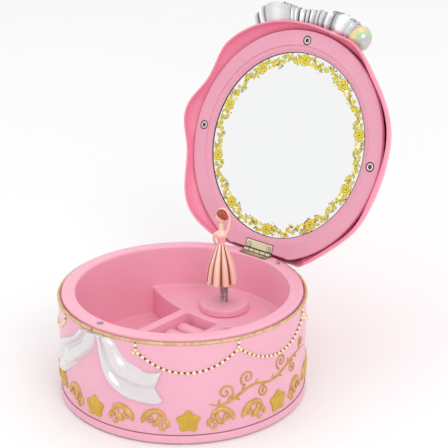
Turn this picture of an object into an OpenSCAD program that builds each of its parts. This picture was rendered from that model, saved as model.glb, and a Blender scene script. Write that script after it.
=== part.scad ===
// Round musical jewellery box with a hinged mirror lid, a wind-up movement
// and a dancer who stands on a coil spring and folds down as the lid closes.
// Millimetres. Origin: centre of the underside. +Z up, front is -Y, hinge at +Y.
// The lid is drawn open, resting on its stop.

/* [Case] */
// Outside radius of the drum wall
drum_r = 65; // [64.8:0.1:65.2]
// Thickness of the drum wall
drum_t = 2.4; // [2.2:0.1:2.6]
// Height of the rim above the table
rim_z = 57.1; // [57.0:0.05:57.2]
// Inside radius of the bowl
bowl_r = 56.0; // [55.8:0.1:56.1]
// Height of the plinth that closes the bottom
base_h = 5.2; // [5.0:0.1:5.4]

/* [Tray] */
// Height of the stage that carries the turntable
stage_z = 33; // [32.8:0.1:33.1]
// Height of the compartment floors
floor_z = 16.5; // [16.3:0.1:16.7]
// Radius of the curved front edge of the stage
stage_arc_r = 106; // [105.5:0.5:106.5]
// Distance from the centre to the foremost point of the stage edge
stage_front_y = 15.5; // [15.3:0.1:15.7]
// Half width of the middle compartment
pit_x = 11; // [10.8:0.1:11.2]
// Width of each divider
divider_w = 6; // [5.8:0.1:6.2]
// Number of ring slots
ring_slots = 7; // [5:1:7]

/* [Turntable] */
// Distance of the turntable from the centre, towards the hinge
spin_y = 33; // [32.8:0.1:33.2]
// Radius of the ribbed turntable
turn_r = 13.6; // [13.4:0.1:13.7]
// Height of the turntable above the table, at its top
turn_z = 37; // [36.8:0.1:37.2]
// Number of ribs round the turntable
turn_ribs = 44; // [36:1:48]

/* [Lid] */
// Angle of the open lid above the closed position
open_angle = 109.8; // [109.4:0.1:110]
// Distance of the hinge axis behind the centre
hinge_y = 61.4; // [61.3:0.05:61.5]
// Height of the hinge axis
hinge_z = 57.3; // [57.25:0.05:57.35]
// Length of the hinge
hinge_w = 19; // [18.6:0.1:19.4]
// Radius of the mirror
mirror_r = 52.7; // [52.5:0.1:52.8]
// Radius of the flat ring plate of the lid
plate_r = 64.0; // [63.8:0.1:64.2]

/* [Movement] */
// Teeth of the crown gear on the winding arbor
crown_n = 36; // [36:12:36]
// Teeth of the pinion of the cylinder
pinion_n = 12; // [12:12:12]
// Radius of the pinned cylinder
cyl_r = 6; // [5.9:0.05:6]
// Number of comb teeth
comb_n = 18; // [17:1:18]

/* [Hidden] */

lz = rim_z + 0.4;               // plane of the closed lid's flat ring
wall_in = drum_r - drum_t;
tray_t = 1.6;
arc_y = stage_front_y + stage_arc_r;
cyl_z = 9.67;                   // axis of the pinned cylinder
gov_z = cyl_z + 8.0;            // axis of the governor wheel
gov_x = 40.5;
gov_y = spin_y + 5.5;           // axis of the governor worm
bed_z = 26.8;                   // underside of the movement bedplate
pin_p = [18.3, 57.2];           // stop pin, in the rim beside the hinge
pin_up = 58.6;
pink = [0.90, 0.62, 0.70]; pink_in = [0.93, 0.58, 0.66]; gold = [0.80, 0.64, 0.33];
pearl = [0.90, 0.90, 0.92]; brass = [0.84, 0.78, 0.52]; steel = [0.72, 0.73, 0.75];

// ---------- helpers ----------
module ring(r1, r2, z1, z2, fn = 180)
    translate([0, 0, z1]) difference() {
        cylinder(r = r2, h = z2 - z1, $fn = fn);
        translate([0, 0, -1]) cylinder(r = r1, h = z2 - z1 + 2, $fn = fn);
    }
module disc(r, z1, z2, fn = 64) translate([0, 0, z1]) cylinder(r = r, h = z2 - z1, $fn = fn);
module rod_x(r, x1, x2, y, z, fn = 32) translate([x1, y, z]) rotate([0, 90, 0]) cylinder(r = r, h = x2 - x1, $fn = fn);
// opens whatever is drawn in the closed lid's place
module lid_open() translate([0, hinge_y, hinge_z]) rotate([-open_angle, 0, 0]) translate([0, -hinge_y, -hinge_z]) children();
// wraps a flat outline (x = arc length, y = height) on the front of the drum, turned by a
module on_drum(a, r1, r2) intersection() {
    rotate([0, 0, a]) translate([0, -20, 0]) rotate([90, 0, 0]) linear_extrude(60) children();
    ring(r1, r2, 5.4, 57);
}
function gear_pts(n, m, ph, ad, th) = [for (i = [0:n - 1]) for (k = [0:3])
    let (a0 = 360 * i / n + ph, p = 360 / n, rp = m * n / 2,
         a = a0 + (k == 0 ? -0.5 : k == 1 ? -0.26 : k == 2 ? 0.26 : 0.5) * p * th * (k == 0 || k == 3 ? 1.25 : 1),
         r = (k == 0 || k == 3) ? rp - 1.2 * m : rp + ad * m) [r * cos(a), r * sin(a)]];
module gear2d(n, m, ph = 0, ad = 0.85, th = 0.46) polygon(gear_pts(n, m, ph, ad, th));

// ---------- case ----------
module outer_drum() color(pink) {
    ring(wall_in, drum_r, base_h, 54.2);
    for (a = [0:90:270]) rotate([0, 0, a]) difference() {
        translate([60.4, 0, base_h]) cylinder(r = 2.5, h = 14.8, $fn = 32);
        translate([60.4, 0, base_h - 1]) cylinder(r = 1.1, h = 12, $fn = 24);
    }
}
module base_plate() color(pink) difference() {
    rotate_extrude($fn = 180) polygon([[0, 0.8], [65.1, 0.8], [65.7, 1.4], [65.7, 4.4], [65.4, 5.0], [64.9, base_h],
        [58, base_h], [57.6, 2.6], [0, 2.6]]);
    for (a = [0:90:270]) rotate([0, 0, a]) translate([60.4, 0, 0]) {
        cylinder(r = 1.35, h = 8, $fn = 24);
        translate([0, 0, 0.5]) cylinder(r = 2.4, h = 1.7, $fn = 32);
    }
}
module felt_pad() color([0.25, 0.22, 0.24]) disc(56, 0, 0.8, 120);
module base_screws() color(steel) for (a = [0:90:270]) rotate([0, 0, a]) translate([60.4, 0, 0]) difference() {
    union() {
        translate([0, 0, 1.1]) cylinder(r = 2.2, h = 1.1, $fn = 32);
        translate([0, 0, 2.0]) cylinder(r = 1.1, h = 13, $fn = 24);
    }
    for (b = [0, 90]) rotate([0, 0, b]) translate([-1.3, -0.25, 0.9]) cube([2.6, 0.5, 0.8]);
}
module stage2d(r) intersection() { circle(r = r, $fn = 180); translate([0, arc_y]) circle(r = stage_arc_r, $fn = 360); }
module front2d(r) difference() { circle(r = r, $fn = 180); translate([0, arc_y]) circle(r = stage_arc_r, $fn = 360); }
module divider2d(w, r) intersection() {
    front2d(r);
    union() for (s = [-1, 1]) translate([s * (pit_x + divider_w / 2) - w / 2, -60]) square([w, 90]);
}
boss_xy = [[-16, 24.5], [-16, 44.5], [12, 46.5], [25, 26]];
module inner_tray() color(pink_in) difference() {
    union() {
        rotate_extrude($fn = 180) polygon([[bowl_r, stage_z - tray_t], [bowl_r + tray_t, stage_z - tray_t], [bowl_r + tray_t, 54.2],
            [63.3, 54.2], [63.3, rim_z - 0.5], [62.9, rim_z], [bowl_r + 0.9, rim_z], [bowl_r + 0.25, rim_z - 0.25], [bowl_r, rim_z - 0.9]]);
        translate([0, 0, floor_z - 1.5]) linear_extrude(stage_z - tray_t - floor_z + 1.5 + 0.01) difference() {
            front2d(bowl_r + tray_t);
            circle(r = bowl_r, $fn = 180);
        }
        translate([0, 0, floor_z - 1.5]) linear_extrude(1.5) front2d(bowl_r + 0.2);
        translate([0, 0, floor_z - 1.5]) linear_extrude(stage_z - floor_z + 1.5) intersection() {
            circle(r = bowl_r + tray_t, $fn = 180);
            translate([0, arc_y]) difference() { circle(r = stage_arc_r, $fn = 360); circle(r = stage_arc_r - tray_t, $fn = 360); }
        }
        translate([0, 0, stage_z - tray_t]) linear_extrude(tray_t) stage2d(bowl_r + 0.2);
        translate([0, 0, floor_z - 0.5]) linear_extrude(stage_z - floor_z + 0.5) divider2d(divider_w, bowl_r + 0.2);
        for (p = boss_xy) translate([p[0], p[1], 28.4]) cylinder(r = 2.6, h = 3.5, $fn = 32);
    }
    translate([0, 0, floor_z - 2]) linear_extrude(stage_z - floor_z - 0.2) divider2d(divider_w - 3, bowl_r - 2);
    translate([0, spin_y, 20]) cylinder(r = 3, h = 20, $fn = 48);
    for (p = boss_xy) translate([p[0], p[1], 27]) cylinder(r = 1.0, h = 4, $fn = 24);
    translate([0, -59.5, 54.8]) cylinder(r = 1.55, h = 5, $fn = 32);
    translate([pin_p[0], pin_p[1], 40]) cylinder(r = 0.85, h = 30, $fn = 32);
    // seat of the lower hinge leaf, its screws and the knuckles
    translate([-hinge_w / 2 - 0.1, 50, rim_z - 0.5]) cube([hinge_w + 0.2, 10.5, 2]);
    for (s = [-1, 1]) translate([s * 7, 58.3, 50]) cylinder(r = 0.7, h = 10, $fn = 24);
    rod_x(1.5, -hinge_w / 2 - 0.3, hinge_w / 2 + 0.3, hinge_y, hinge_z, 48);
}
slot_y0 = 14.35;
slot_pitch = 9.7;
slot_w = 1.8;
roll_w = (slot_pitch - slot_w) / 2;
// side view of the foam: a solid foot with one round-topped roll between each two slots
function roll_pts(yc, w) = [for (b = [90:-15:-90]) let (s = sin(b)) [yc + w * sign(s) * pow(abs(s), 0.85), 25.4 + 3.6 * pow(abs(cos(b)), 0.7)]];
module ring_holder() color(pink_in) intersection() {
    translate([0, 0, floor_z + 0.05]) linear_extrude(12.6) intersection() {
        difference() { circle(r = bowl_r - 0.25, $fn = 180); translate([0, arc_y]) circle(r = stage_arc_r + 0.25, $fn = 360); }
        translate([-pit_x + 0.2, -60]) square([2 * pit_x - 0.4, 90]);
    }
    union() {
        translate([-20, -60, floor_z]) cube([40, 90, 4.6]);
        translate([-20, 0, 0]) rotate([90, 0, 90]) linear_extrude(40) for (i = [0:ring_slots - 1]) let (yc = slot_y0 - slot_pitch * (i + 0.5))
            polygon(concat([[yc - roll_w, 20]], [for (q = [len(roll_pts(yc, roll_w)) - 1:-1:0]) roll_pts(yc, roll_w)[q]], [[yc + roll_w, 20]]));
    }
}
module gold_rim_trim() color(gold) rotate_extrude($fn = 180) {
    translate([64.6, 55.12]) circle(r = 1.05, $fn = 32);
    translate([63.25, 54.1]) square([1.3, 1.9]);
}
// one swag spans 45 degrees: it drops from the rim, then hangs in a curve
function swag_z(u) = 39.7 + 10.3 * pow(abs(2 * u - 1), 2.1);
module bead_swags() color(gold) for (k = [0:7]) {
    rotate([0, 0, 22.5 + 45 * k]) for (z = [50.4 + 0.2, 53.3]) translate([0, -drum_r - 0.55, z]) sphere(r = 0.85, $fn = 16);
    if (k != 7 && k != 0) for (i = [0:16]) let (u = (i + 0.5) / 17, a = -22.5 + 45 * k + 45 * u)
        rotate([0, 0, a]) translate([0, -drum_r - 0.55, swag_z(u)]) sphere(r = 0.9, $fn = 16);
}
function star_pts(ro, ri) = [for (i = [0:9]) let (r = i % 2 == 0 ? ro : ri, a = 90 + 36 * i) [r * cos(a), r * sin(a)]];
module star2d() offset(r = 0.8, $fn = 16) offset(delta = -0.8) polygon(star_pts(6.6, 3.5));
module star_ornaments() color(gold) for (k = [0:7]) on_drum(45 * k, drum_r, drum_r + 1.3) translate([0, 13]) polygon(star_pts(6.4, 3.3));
module arc2d(r, w, a1, a2, n = 12) polygon(concat(
    [for (i = [0:n]) let (a = a1 + (a2 - a1) * i / n) [(r + w / 2) * cos(a), (r + w / 2) * sin(a)]],
    [for (i = [n:-1:0]) let (a = a1 + (a2 - a1) * i / n) [(r - w / 2) * cos(a), (r - w / 2) * sin(a)]]));
module scroll2d() {
    translate([14.4, 12.2]) arc2d(5.2, 2.0, 10, 172);
    translate([11.2, 11.0]) circle(r = 1.7, $fn = 16);
    translate([15.2, 12.0]) arc2d(2.2, 1.4, 40, 300);
    translate([19.6, 11.8]) circle(r = 1.9, $fn = 16);
    translate([10.4, 9.2]) circle(r = 1.3, $fn = 16);
}
module scroll_ornaments() color(gold) for (k = [0:7]) for (s = [0, 1])
    on_drum(45 * k, drum_r, drum_r + 1.1) mirror([s, 0]) scroll2d();
// generic swash on the right of the wall, rising towards the hinge
module wall_flourish() color(gold) on_drum(88, drum_r, drum_r + 0.8) {
    translate([-16, 26]) arc2d(5.5, 1.2, 60, 330);
    translate([-4, 31]) arc2d(8.5, 1.2, 200, 330);
    translate([9, 24.5]) arc2d(7.6, 1.2, 25, 150);
    translate([20, 30]) arc2d(5.0, 1.2, 190, 400);
}
function tail_pt(a, z) = [drum_r * sin(a), z];
module ribbon_tail_right() color(pearl) on_drum(0, drum_r, drum_r + 2.2) polygon([tail_pt(3.5, 53.9), tail_pt(11, 54.0), tail_pt(14.3, 48.2),
    tail_pt(16.6, 44.5), tail_pt(22.5, 41.5), tail_pt(26, 39.1), tail_pt(33.3, 40), tail_pt(32.3, 30.9), tail_pt(33.5, 25), tail_pt(30.5, 22.5),
    tail_pt(24.3, 22.7), tail_pt(17.4, 24.5), tail_pt(11.1, 27.6), tail_pt(7.6, 33.7), tail_pt(4.2, 45.1)]);
module ribbon_tail_left() color(pearl) on_drum(0, drum_r, drum_r + 2.2) polygon([tail_pt(2.9, 53.9), tail_pt(0.7, 45.5), tail_pt(-7.7, 37.1),
    tail_pt(-16.8, 28.2), tail_pt(-24.7, 20.6), tail_pt(-32.3, 20.4), tail_pt(-39.6, 29.1), tail_pt(-25.3, 39.8), tail_pt(-13.5, 46.7), tail_pt(-6.8, 52.9)]);
module closure_magnet() color([0.35, 0.35, 0.38]) translate([0, -59.5, 54.8]) cylinder(r = 1.5, h = rim_z - 54.85, $fn = 32);

// ---------- hinge ----------
kn = hinge_w / 5;
module knuckles(first) for (i = [first:2:4]) difference() {
    rod_x(1.15, -hinge_w / 2 + kn * i + 0.08, -hinge_w / 2 + kn * (i + 1) - 0.08, hinge_y, hinge_z, 40);
    rod_x(0.65, -hinge_w, hinge_w, hinge_y, hinge_z, 40);
}
module leaf(z1, y1, first) difference() {
    union() {
        translate([-hinge_w / 2, y1, z1]) cube([hinge_w, 60.0 - y1, 0.5]);
        for (i = [first:2:4]) translate([-hinge_w / 2 + kn * i + 0.08, 59.9, z1]) cube([kn - 0.16, hinge_y - 59.9, 0.5]);
    }
    for (s = [-1, 1]) translate([s * 7, 58.3, z1 - 1]) cylinder(r = 0.75, h = 3, $fn = 24);
    rod_x(1.0, -hinge_w, hinge_w, hinge_y, hinge_z, 40);
}
module hinge_lower_leaf() color(brass) { knuckles(0); leaf(rim_z - 0.5, 56.5, 0); }
module hinge_upper_leaf() color(brass) lid_open() { knuckles(1); leaf(lz - 0.05, 55.2, 1); }
module hinge_pin() color(brass) {
    rod_x(0.6, -hinge_w / 2 - 0.2, hinge_w / 2 + 0.2, hinge_y, hinge_z, 32);
}
module hinge_screw(z, dir) translate([0, 0, z]) mirror([0, 0, dir < 0 ? 1 : 0]) {
    cylinder(r = 1.25, h = 0.12, $fn = 32);
    translate([0, 0, -4.0]) cylinder(r = 0.7, h = 4.05, $fn = 24);
}
module hinge_lower_screws() color(brass) for (s = [-1, 1]) translate([s * 7, 58.3, 0]) hinge_screw(rim_z, 1);
module hinge_upper_screws() color(brass) lid_open() for (s = [-1, 1]) translate([s * 7, 58.3, 0]) hinge_screw(lz - 0.05, -1);

// ---------- lid, drawn closed and then opened ----------
// lobes of the scalloped edge: angle from the front and how far out each point stands, joined by half waves
lobe_k = [[-180, 0.3], [-158, 0], [-131.5, 1], [-105, 0], [-85, 1], [-66, 0], [-44, 1], [13, 0], [30, 0.75], [46.5, 0],
    [73.5, 0.85], [100, 0], [118, 0.6], [137, 0], [157, 0.6], [180, 0.3]];
function lobe_i(b, i = 0) = i >= 14 || b < lobe_k[i + 1][0] ? i : lobe_i(b, i + 1);
function lobe_b(b, i) = lobe_k[i][1] + (lobe_k[i + 1][1] - lobe_k[i][1])
    * (0.5 - 0.5 * cos(180 * (b - lobe_k[i][0]) / (lobe_k[i + 1][0] - lobe_k[i][0])));
function lobe(a) = let (b = a > 180 ? a - 360 : a) lobe_b(b, lobe_i(b));
// outer profile of the dome: radius of a valley and lobe height at a given height above the ring plane
dome_o = [-6, -3, 0, 1.2, 4, 8, 12, 16.5, 20.5, 23.4, 24.9];
dome_r = [67.4, 67.3, 67.2, 67.0, 65.5, 63.5, 59.5, 50, 38.5, 24, 10];
dome_a = [3.9, 3.6, 2.6, 2.2, 1.2, 0.7, 0.5, 0.35, 0.2, 0.1, 0];
function dome_w(o, t) = lookup(o, [for (i = [0:10]) [dome_o[i], dome_r[i] + t * dome_a[i]]]);
function lip_drop(t) = -3 - 2.5 * t;
// the back of the edge rises so that it clears the drum when the lid is open
function relief(x, y) = 1.063 * (sqrt(max(1, 67.5 * 67.5 - x * x)) - hinge_y + 0.2) + 0.36 * (y - hinge_y) - 0.2;
function lip_it(a, t, o, n) = n == 0 ? o : lip_it(a, t,
    max(lip_drop(t), abs(a - 180) < 60 ? relief(dome_w(o, t) * sin(a), -dome_w(o, t) * cos(a)) : -9), n - 1);
function lip_o(a, t) = lip_it(a, t, 3, 8) + 0.15;
ln = 120;
out_o = [24.9, 23.4, 20.5, 16.5, 13.5, 11, 8, 5, 2.5];
in_o = [-0.6, 2.5, 6, 9.5, 13, 17, 20.3, 22.4];
function sq(o, l) = l > -0.4 ? max(o, l + (o - 0) * (24.9 - l) / 24.9 * 0.9) : o;
function outer_ring(k) = [for (i = [0:ln - 1]) let (a = 360 * i / ln, t = lobe(a), l = lip_o(a, t),
    o = k < 9 ? sq(out_o[k], l) : l, r = dome_w(o, t)) [r * sin(a), -r * cos(a), lz + o]];
// the wall is thin at the lip, where it passes the rim, and thicker from the ring plane up
function inner_ring(k) = [for (i = [0:ln - 1]) let (a = 360 * i / ln, t = lobe(a), l = lip_o(a, t),
    oo = k < 0 ? l : k == 0 ? max(in_o[0], l + 0.3) : sq(in_o[k], l), o = k < 0 ? oo : min(oo, 22.6),
    r = k < 1 ? dome_w(o, t) - 1.25 : dome_w(min(o + 1.0, 24.6), t) - 2.1) [r * sin(a), -r * cos(a), lz + o]];
module dome_solid() {
    pts = concat([[0, 0, lz + 25.4]], [for (k = [0:9]) each outer_ring(k)], [for (k = [-1:7]) each inner_ring(k)], [[0, 0, lz + 23.0]]);
    nr = 19;
    fcs = concat([for (i = [0:ln - 1]) [0, 1 + (i + 1) % ln, 1 + i]],
        [for (k = [0:nr - 2]) for (i = [0:ln - 1]) [1 + k * ln + i, 1 + (k + 1) * ln + (i + 1) % ln, 1 + (k + 1) * ln + i]],
        [for (k = [0:nr - 2]) for (i = [0:ln - 1]) [1 + k * ln + i, 1 + k * ln + (i + 1) % ln, 1 + (k + 1) * ln + (i + 1) % ln]],
        [for (i = [0:ln - 1]) [1 + (nr - 1) * ln + i, 1 + (nr - 1) * ln + (i + 1) % ln, 1 + nr * ln]]);
    polyhedron(points = pts, faces = fcs, convexity = 8);
}
lid_screw_a = [0, 90, 270];
module lid_shell() color(pink) lid_open() difference() {
    union() {
        dome_solid();
        for (a = lid_screw_a) rotate([0, 0, a]) translate([0, -58.6, lz + 2.3]) cylinder(r = 2.4, h = 7.8, $fn = 24);
        translate([-15, 54.6, lz + 2.3]) cube([30, 4.4, 7.6]);
    }
    for (a = lid_screw_a) rotate([0, 0, a]) translate([0, -58.6, lz + 1]) cylinder(r = 1.1, h = 7.3, $fn = 24);
    for (s = [-1, 1]) translate([s * 7, 58.3, lz]) cylinder(r = 0.7, h = 5, $fn = 24);
}
module lid_plate() color([0.87, 0.58, 0.68]) lid_open() difference() {
    translate([0, 0, lz]) rotate_extrude($fn = 180) polygon([[plate_r, 0.3], [plate_r - 0.3, 0], [55.7, 0], [55.3, 0.8], [53.6, 1.0], [51.9, 2.2], [51.9, 2.6],
        [mirror_r + 0.1, 2.6], [mirror_r + 0.1, 5.0], [56, 5.0], [56, 2.2], [plate_r, 2.2]]);
    for (a = lid_screw_a) rotate([0, 0, a]) translate([0, -58.6, lz - 1]) {
        cylinder(r = 1.25, h = 5, $fn = 24);
        cylinder(r = 2.45, h = 1.9, $fn = 32);
    }
    translate([-40, 60.3, lz - 1]) cube([80, 10, 8]);
    translate([-hinge_w / 2 - 0.1, 55.0, lz - 1]) cube([hinge_w + 0.2, 10, 1.45]);
    for (s = [-1, 1]) translate([s * 7, 58.3, lz - 1]) cylinder(r = 0.7, h = 5, $fn = 24);
    rod_x(1.5, -hinge_w, hinge_w, hinge_y, hinge_z, 48);
    translate([-15.3, 54.4, lz + 2.15]) cube([30.6, 5, 5]);
}
module mirror_glass() color([0.93, 0.95, 0.97]) lid_open() translate([0, 0, lz + 2.6]) cylinder(r = mirror_r, h = 1.4, $fn = 180);
module mirror_backing() color([0.6, 0.6, 0.6]) lid_open() translate([0, 0, lz + 4.0]) cylinder(r = mirror_r - 0.7, h = 1, $fn = 180);
module lid_screws() color(steel) lid_open() for (a = lid_screw_a) rotate([0, 0, a]) translate([0, -58.6, lz]) difference() {
    union() {
        translate([0, 0, 0.1]) cylinder(r = 2.25, h = 0.8, $fn = 32);
        translate([0, 0, 0.8]) cylinder(r = 1.1, h = 7, $fn = 24);
    }
    for (b = [0, 90]) rotate([0, 0, b]) translate([-1.4, -0.3, -0.2]) cube([2.8, 0.6, 0.7]);
}
module ball(p, r) translate(p) sphere(r = r, $fn = 32);
module bow_loops() color(pearl) lid_open() translate([0, 0, lz]) {
    hull() {
        ball([-35.4, -67.6, 5], 4.4);
        ball([-31.2, -71.6, 7], 5.4);
        ball([-17, -71.4, 8], 4.6);
        ball([-12, -70.6, 6], 3.8);
    }
    hull() {
        ball([1, -71, 7], 3.8);
        ball([11, -71.6, 8], 4.6);
        ball([22, -68.6, 9], 6.6);
        ball([26.8, -65.4, 6], 5.8);
        ball([27.6, -62.6, 5], 4.6);
    }
}
module bow_knot() color(pearl) lid_open() translate([0, 0, lz]) hull() {
    ball([-11.6, -71.8, 7.5], 3.4);
    ball([0.4, -72.2, 8], 3.8);
    ball([-5, -68.6, 5], 4);
}

// ---------- turntable and dancer ----------
module turntable() color(pink_in) difference() {
    union() {
        translate([0, spin_y, stage_z + 0.3]) cylinder(r = turn_r - 0.4, h = turn_z - stage_z - 0.3, $fn = 96);
        for (i = [0:turn_ribs - 1]) rotate(0) translate([0, spin_y, stage_z + 0.3]) rotate([0, 0, 360 * i / turn_ribs])
            translate([turn_r - 0.5, 0, 0]) cylinder(r = 0.5, h = 3.2, $fn = 16);
        // tongue inside the dancer's spring, with a round top that she folds over
        rod_x(0.9, -1.0, 1.0, spin_y, 41.2, 48);
        translate([-1.0, spin_y - 0.9, turn_z - 0.1]) cube([2.0, 1.8, 41.2 - turn_z + 0.1]);
    }
    translate([0, spin_y, stage_z - 1]) cylinder(r = 1.5, h = 3.5, $fn = 32);
}
module winding_arbor() color(steel) translate([0, spin_y, 12.4]) cylinder(r = 1.5, h = stage_z + 2.5 - 12.4, $fn = 32);
module crown_gear() color(brass) translate([0, spin_y, 0]) difference() {
    union() {
        translate([0, 0, 14.5]) cylinder(r = 13.2, h = 2.5, $fn = 96);
        for (i = [0:crown_n - 1]) rotate([0, 0, 360 * (i + 0.5) / crown_n]) translate([11.1, 0, 13.15]) rotate([90, 0, 90])
            linear_extrude(1.8) polygon([[-0.58, 1.36], [-0.28, 0], [0.28, 0], [0.58, 1.36]]);
    }
    translate([0, 0, 10]) cylinder(r = 1.5, h = 10, $fn = 32);
}
// dancer's coil spring: one tube swept along a helix
sp_turns = 8; sp_n = 14; sp_s = 8;
sp_z1 = turn_z; sp_z2 = 48; sp_w = 0.38; sp_r = 1.9;
function helix_c(i, n, r, z1, z2, turns) = let (a = 360 * turns * i / n) [r * cos(a), r * sin(a), z1 + (z2 - z1) * i / n];
module coil(n, s, r, z1, z2, turns, w) {
    pts = [for (i = [0:n]) for (j = [0:s - 1]) let (c = helix_c(i, n, r, z1, z2, turns), a = 360 * turns * i / n, b = 360 * j / s)
        [c[0] + w * cos(b) * cos(a), c[1] + w * cos(b) * sin(a), c[2] + w * sin(b)]];
    polyhedron(points = pts, faces = concat([[for (j = [s - 1:-1:0]) j]],
        [for (i = [0:n - 1]) for (j = [0:s - 1]) [i * s + j, i * s + (j + 1) % s, (i + 1) * s + (j + 1) % s]],
        [for (i = [0:n - 1]) for (j = [0:s - 1]) [i * s + j, (i + 1) * s + (j + 1) % s, (i + 1) * s + j]],
        [[for (j = [0:s - 1]) n * s + j]]), convexity = 10);
}
module doll_spring() color(steel) translate([0, spin_y, 0]) {
    coil(sp_turns * sp_n, sp_s, sp_r, sp_z1 + sp_w + 0.02, sp_z2 - sp_w - 0.02, sp_turns, sp_w);
}
module limb(p, q, r1, r2) hull() { translate(p) sphere(r = r1, $fn = 20); translate(q) sphere(r = r2, $fn = 20); }
doll_xy = [-1.1, -1.0];         // she stands a little off the spring's axis
// a point of the figure: across her shoulders, forwards, and height
function doll(l, f, z) = [l * 0.752 - f * 0.659, l * 0.659 + f * 0.752, z];
module ballerina() color([0.93, 0.74, 0.64]) {
    translate([0, spin_y, sp_z2]) cylinder(r1 = 2.5, r2 = 1.9, h = 0.9, $fn = 32);
    translate([doll_xy[0], spin_y + doll_xy[1], 0]) {
        translate([0, 0, 48.3]) cylinder(r = 1.45, h = 18.7, $fn = 32);
        rotate_extrude($fn = 48) polygon([[0, 64], [1.8, 66], [1.95, 68.5], [1.65, 71.4], [2.3, 74], [2.9, 76.5], [2.5, 78.4], [1.2, 79.6],
            [1.0, 82.4], [1.9, 83.5], [2.6, 85.2], [2.75, 86.8], [2.5, 88.8], [1.5, 90.4], [0, 90.9]]);
        limb(doll(2.9, 0, 77.4), doll(4.4, 0.3, 85.9), 0.95, 0.8);
        limb(doll(4.4, 0.3, 85.9), doll(0.5, 1.2, 91.2), 0.8, 0.6);
        limb(doll(-2.9, 0, 77.2), doll(-3.8, 1.4, 73.4), 0.95, 0.8);
        limb(doll(-3.8, 1.4, 73.4), doll(-3.0, 3.3, 69.8), 0.8, 0.6);
    }
}
module doll_skirt() color([0.95, 0.70, 0.62]) translate([doll_xy[0], spin_y + doll_xy[1], 0]) rotate_extrude($fn = 48)
    polygon([[1.8, 49], [8.6, 49], [7.6, 55], [6.3, 60.5], [4.5, 65.3], [3.0, 69.2], [2.5, 71.2], [2.25, 71.2], [2.3, 65.6], [1.8, 63.4]]);

// ---------- movement ----------
module movement_bedplate() color(brass) difference() {
    translate([0, 0, bed_z]) linear_extrude(1.6) polygon([[-20, 20.8], [20, 20.8], [46, 29.8], [46, 39.5], [37, 48.4], [-20, 48.4]]);
    translate([0, spin_y, 20]) cylinder(r = 1.55, h = 20, $fn = 32);
    for (p = boss_xy) translate([p[0], p[1], 20]) cylinder(r = 1.1, h = 20, $fn = 24);
    translate([gov_x, gov_y, 20]) cylinder(r = 0.65, h = 20, $fn = 24);
}
module movement_screws() color(steel) for (p = boss_xy) translate([p[0], p[1], 0]) {
    translate([0, 0, 25.7]) cylinder(r = 1.9, h = 1.1, $fn = 32);
    translate([0, 0, 26.7]) cylinder(r = 1.0, h = 4.1, $fn = 24);
}
module spring_barrel() color(brass) translate([0, spin_y, 0]) difference() {
    disc(13.3, 17.3, bed_z, 96);
    disc(12.5, 18.1, bed_z + 1, 96);
    disc(1.55, 10, 30, 32);
}
function spiral_pts(n, r1, r2, turns, w) = concat(
    [for (i = [0:n]) let (a = 360 * turns * i / n, r = r1 + (r2 - r1) * i / n) [r * cos(a), r * sin(a)]],
    [for (i = [n:-1:0]) let (a = 360 * turns * i / n, r = r1 + (r2 - r1) * i / n + w) [r * cos(a), r * sin(a)]]);
module mainspring() color(steel) translate([0, spin_y, 18.6]) linear_extrude(7.6) polygon(spiral_pts(120, 2.3, 11.9, 8, 0.35));
module cylinder_bracket() color(brass) difference() {
    union() {
        translate([14.2, 30, bed_z - 1.4]) cube([22.2, 6, 1.4]);
        translate([14.2, 30, 7]) cube([1.4, 6, 19.5]);
        translate([35.0, 30, 7]) cube([1.4, 6, 19.5]);
    }
    rod_x(0.85, 10, 40, spin_y, cyl_z);
    rod_x(0.65, 30, 40, spin_y, gov_z);
}
comb_y = spin_y + 6.6;
module comb_block() color([0.45, 0.45, 0.47]) difference() {
    translate([17, 44.6, cyl_z + 0.8]) cube([17, 3.6, bed_z - cyl_z - 0.8]);
    for (x = [21, 30]) translate([x, 46.4, 5]) cylinder(r = 0.9, h = 12, $fn = 24);
}
module music_comb() color(steel) difference() {
    translate([17, comb_y, cyl_z - 0.4]) cube([17, 48.4 - comb_y, 1.2]);
    for (i = [1:comb_n - 1]) translate([17 + 17 * i / comb_n - 0.13, comb_y - 1, cyl_z - 2]) cube([0.26, 5.4, 4]);
    for (x = [21, 30]) translate([x, 46.4, 5]) cylinder(r = 0.95, h = 12, $fn = 24);
}
module comb_screws() color(steel) for (x = [21, 30]) translate([x, 46.4, 0]) {
    translate([0, 0, cyl_z - 1.5]) cylinder(r = 1.6, h = 1.1, $fn = 32);
    translate([0, 0, cyl_z - 0.5]) cylinder(r = 0.9, h = 6.5, $fn = 24);
}
module governor_bracket() color(brass) difference() {
    union() {
        translate([42.8, 28.6, 10.5]) cube([1.2, 11.6, 11.0]);
        translate([42.8, 28.6, 21.0]) cube([1.2, 5.8, bed_z - 21.0]);
        translate([39.3, 36.8, 10.5]) cube([4.0, 3.4, 1.5]);
    }
    rod_x(0.65, 40, 46, spin_y, gov_z);
    translate([gov_x, gov_y, 8]) cylinder(r = 0.65, h = 6, $fn = 24);
}
module pinned_cylinder() color(brass) difference() {
    union() {
        rod_x(cyl_r, 17, 34, spin_y, cyl_z, 64);
        for (i = [0:comb_n - 1]) for (j = [0:2]) let (x = 17 + 17 * (i + 0.5) / comb_n, a = (i * 137.5 + j * 123 + 25) % 360)
            translate([x, spin_y, cyl_z]) rotate([a, 0, 0]) cylinder(r = 0.22, h = cyl_r + 0.45, $fn = 16);
    }
    rod_x(0.8, 10, 40, spin_y, cyl_z);
}
module cylinder_axle() color(steel) rod_x(0.8, 10.8, 38.6, spin_y, cyl_z);
module gear_x(n, m, x1, x2, y, z, ph, bore, ad = 0.85, th = 0.46) translate([x1, y, z]) rotate([90, 0, 90]) difference() {
    linear_extrude(x2 - x1) gear2d(n, m, ph, ad, th);
    translate([0, 0, -1]) cylinder(r = bore, h = x2 - x1 + 2, $fn = 32);
}
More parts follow.
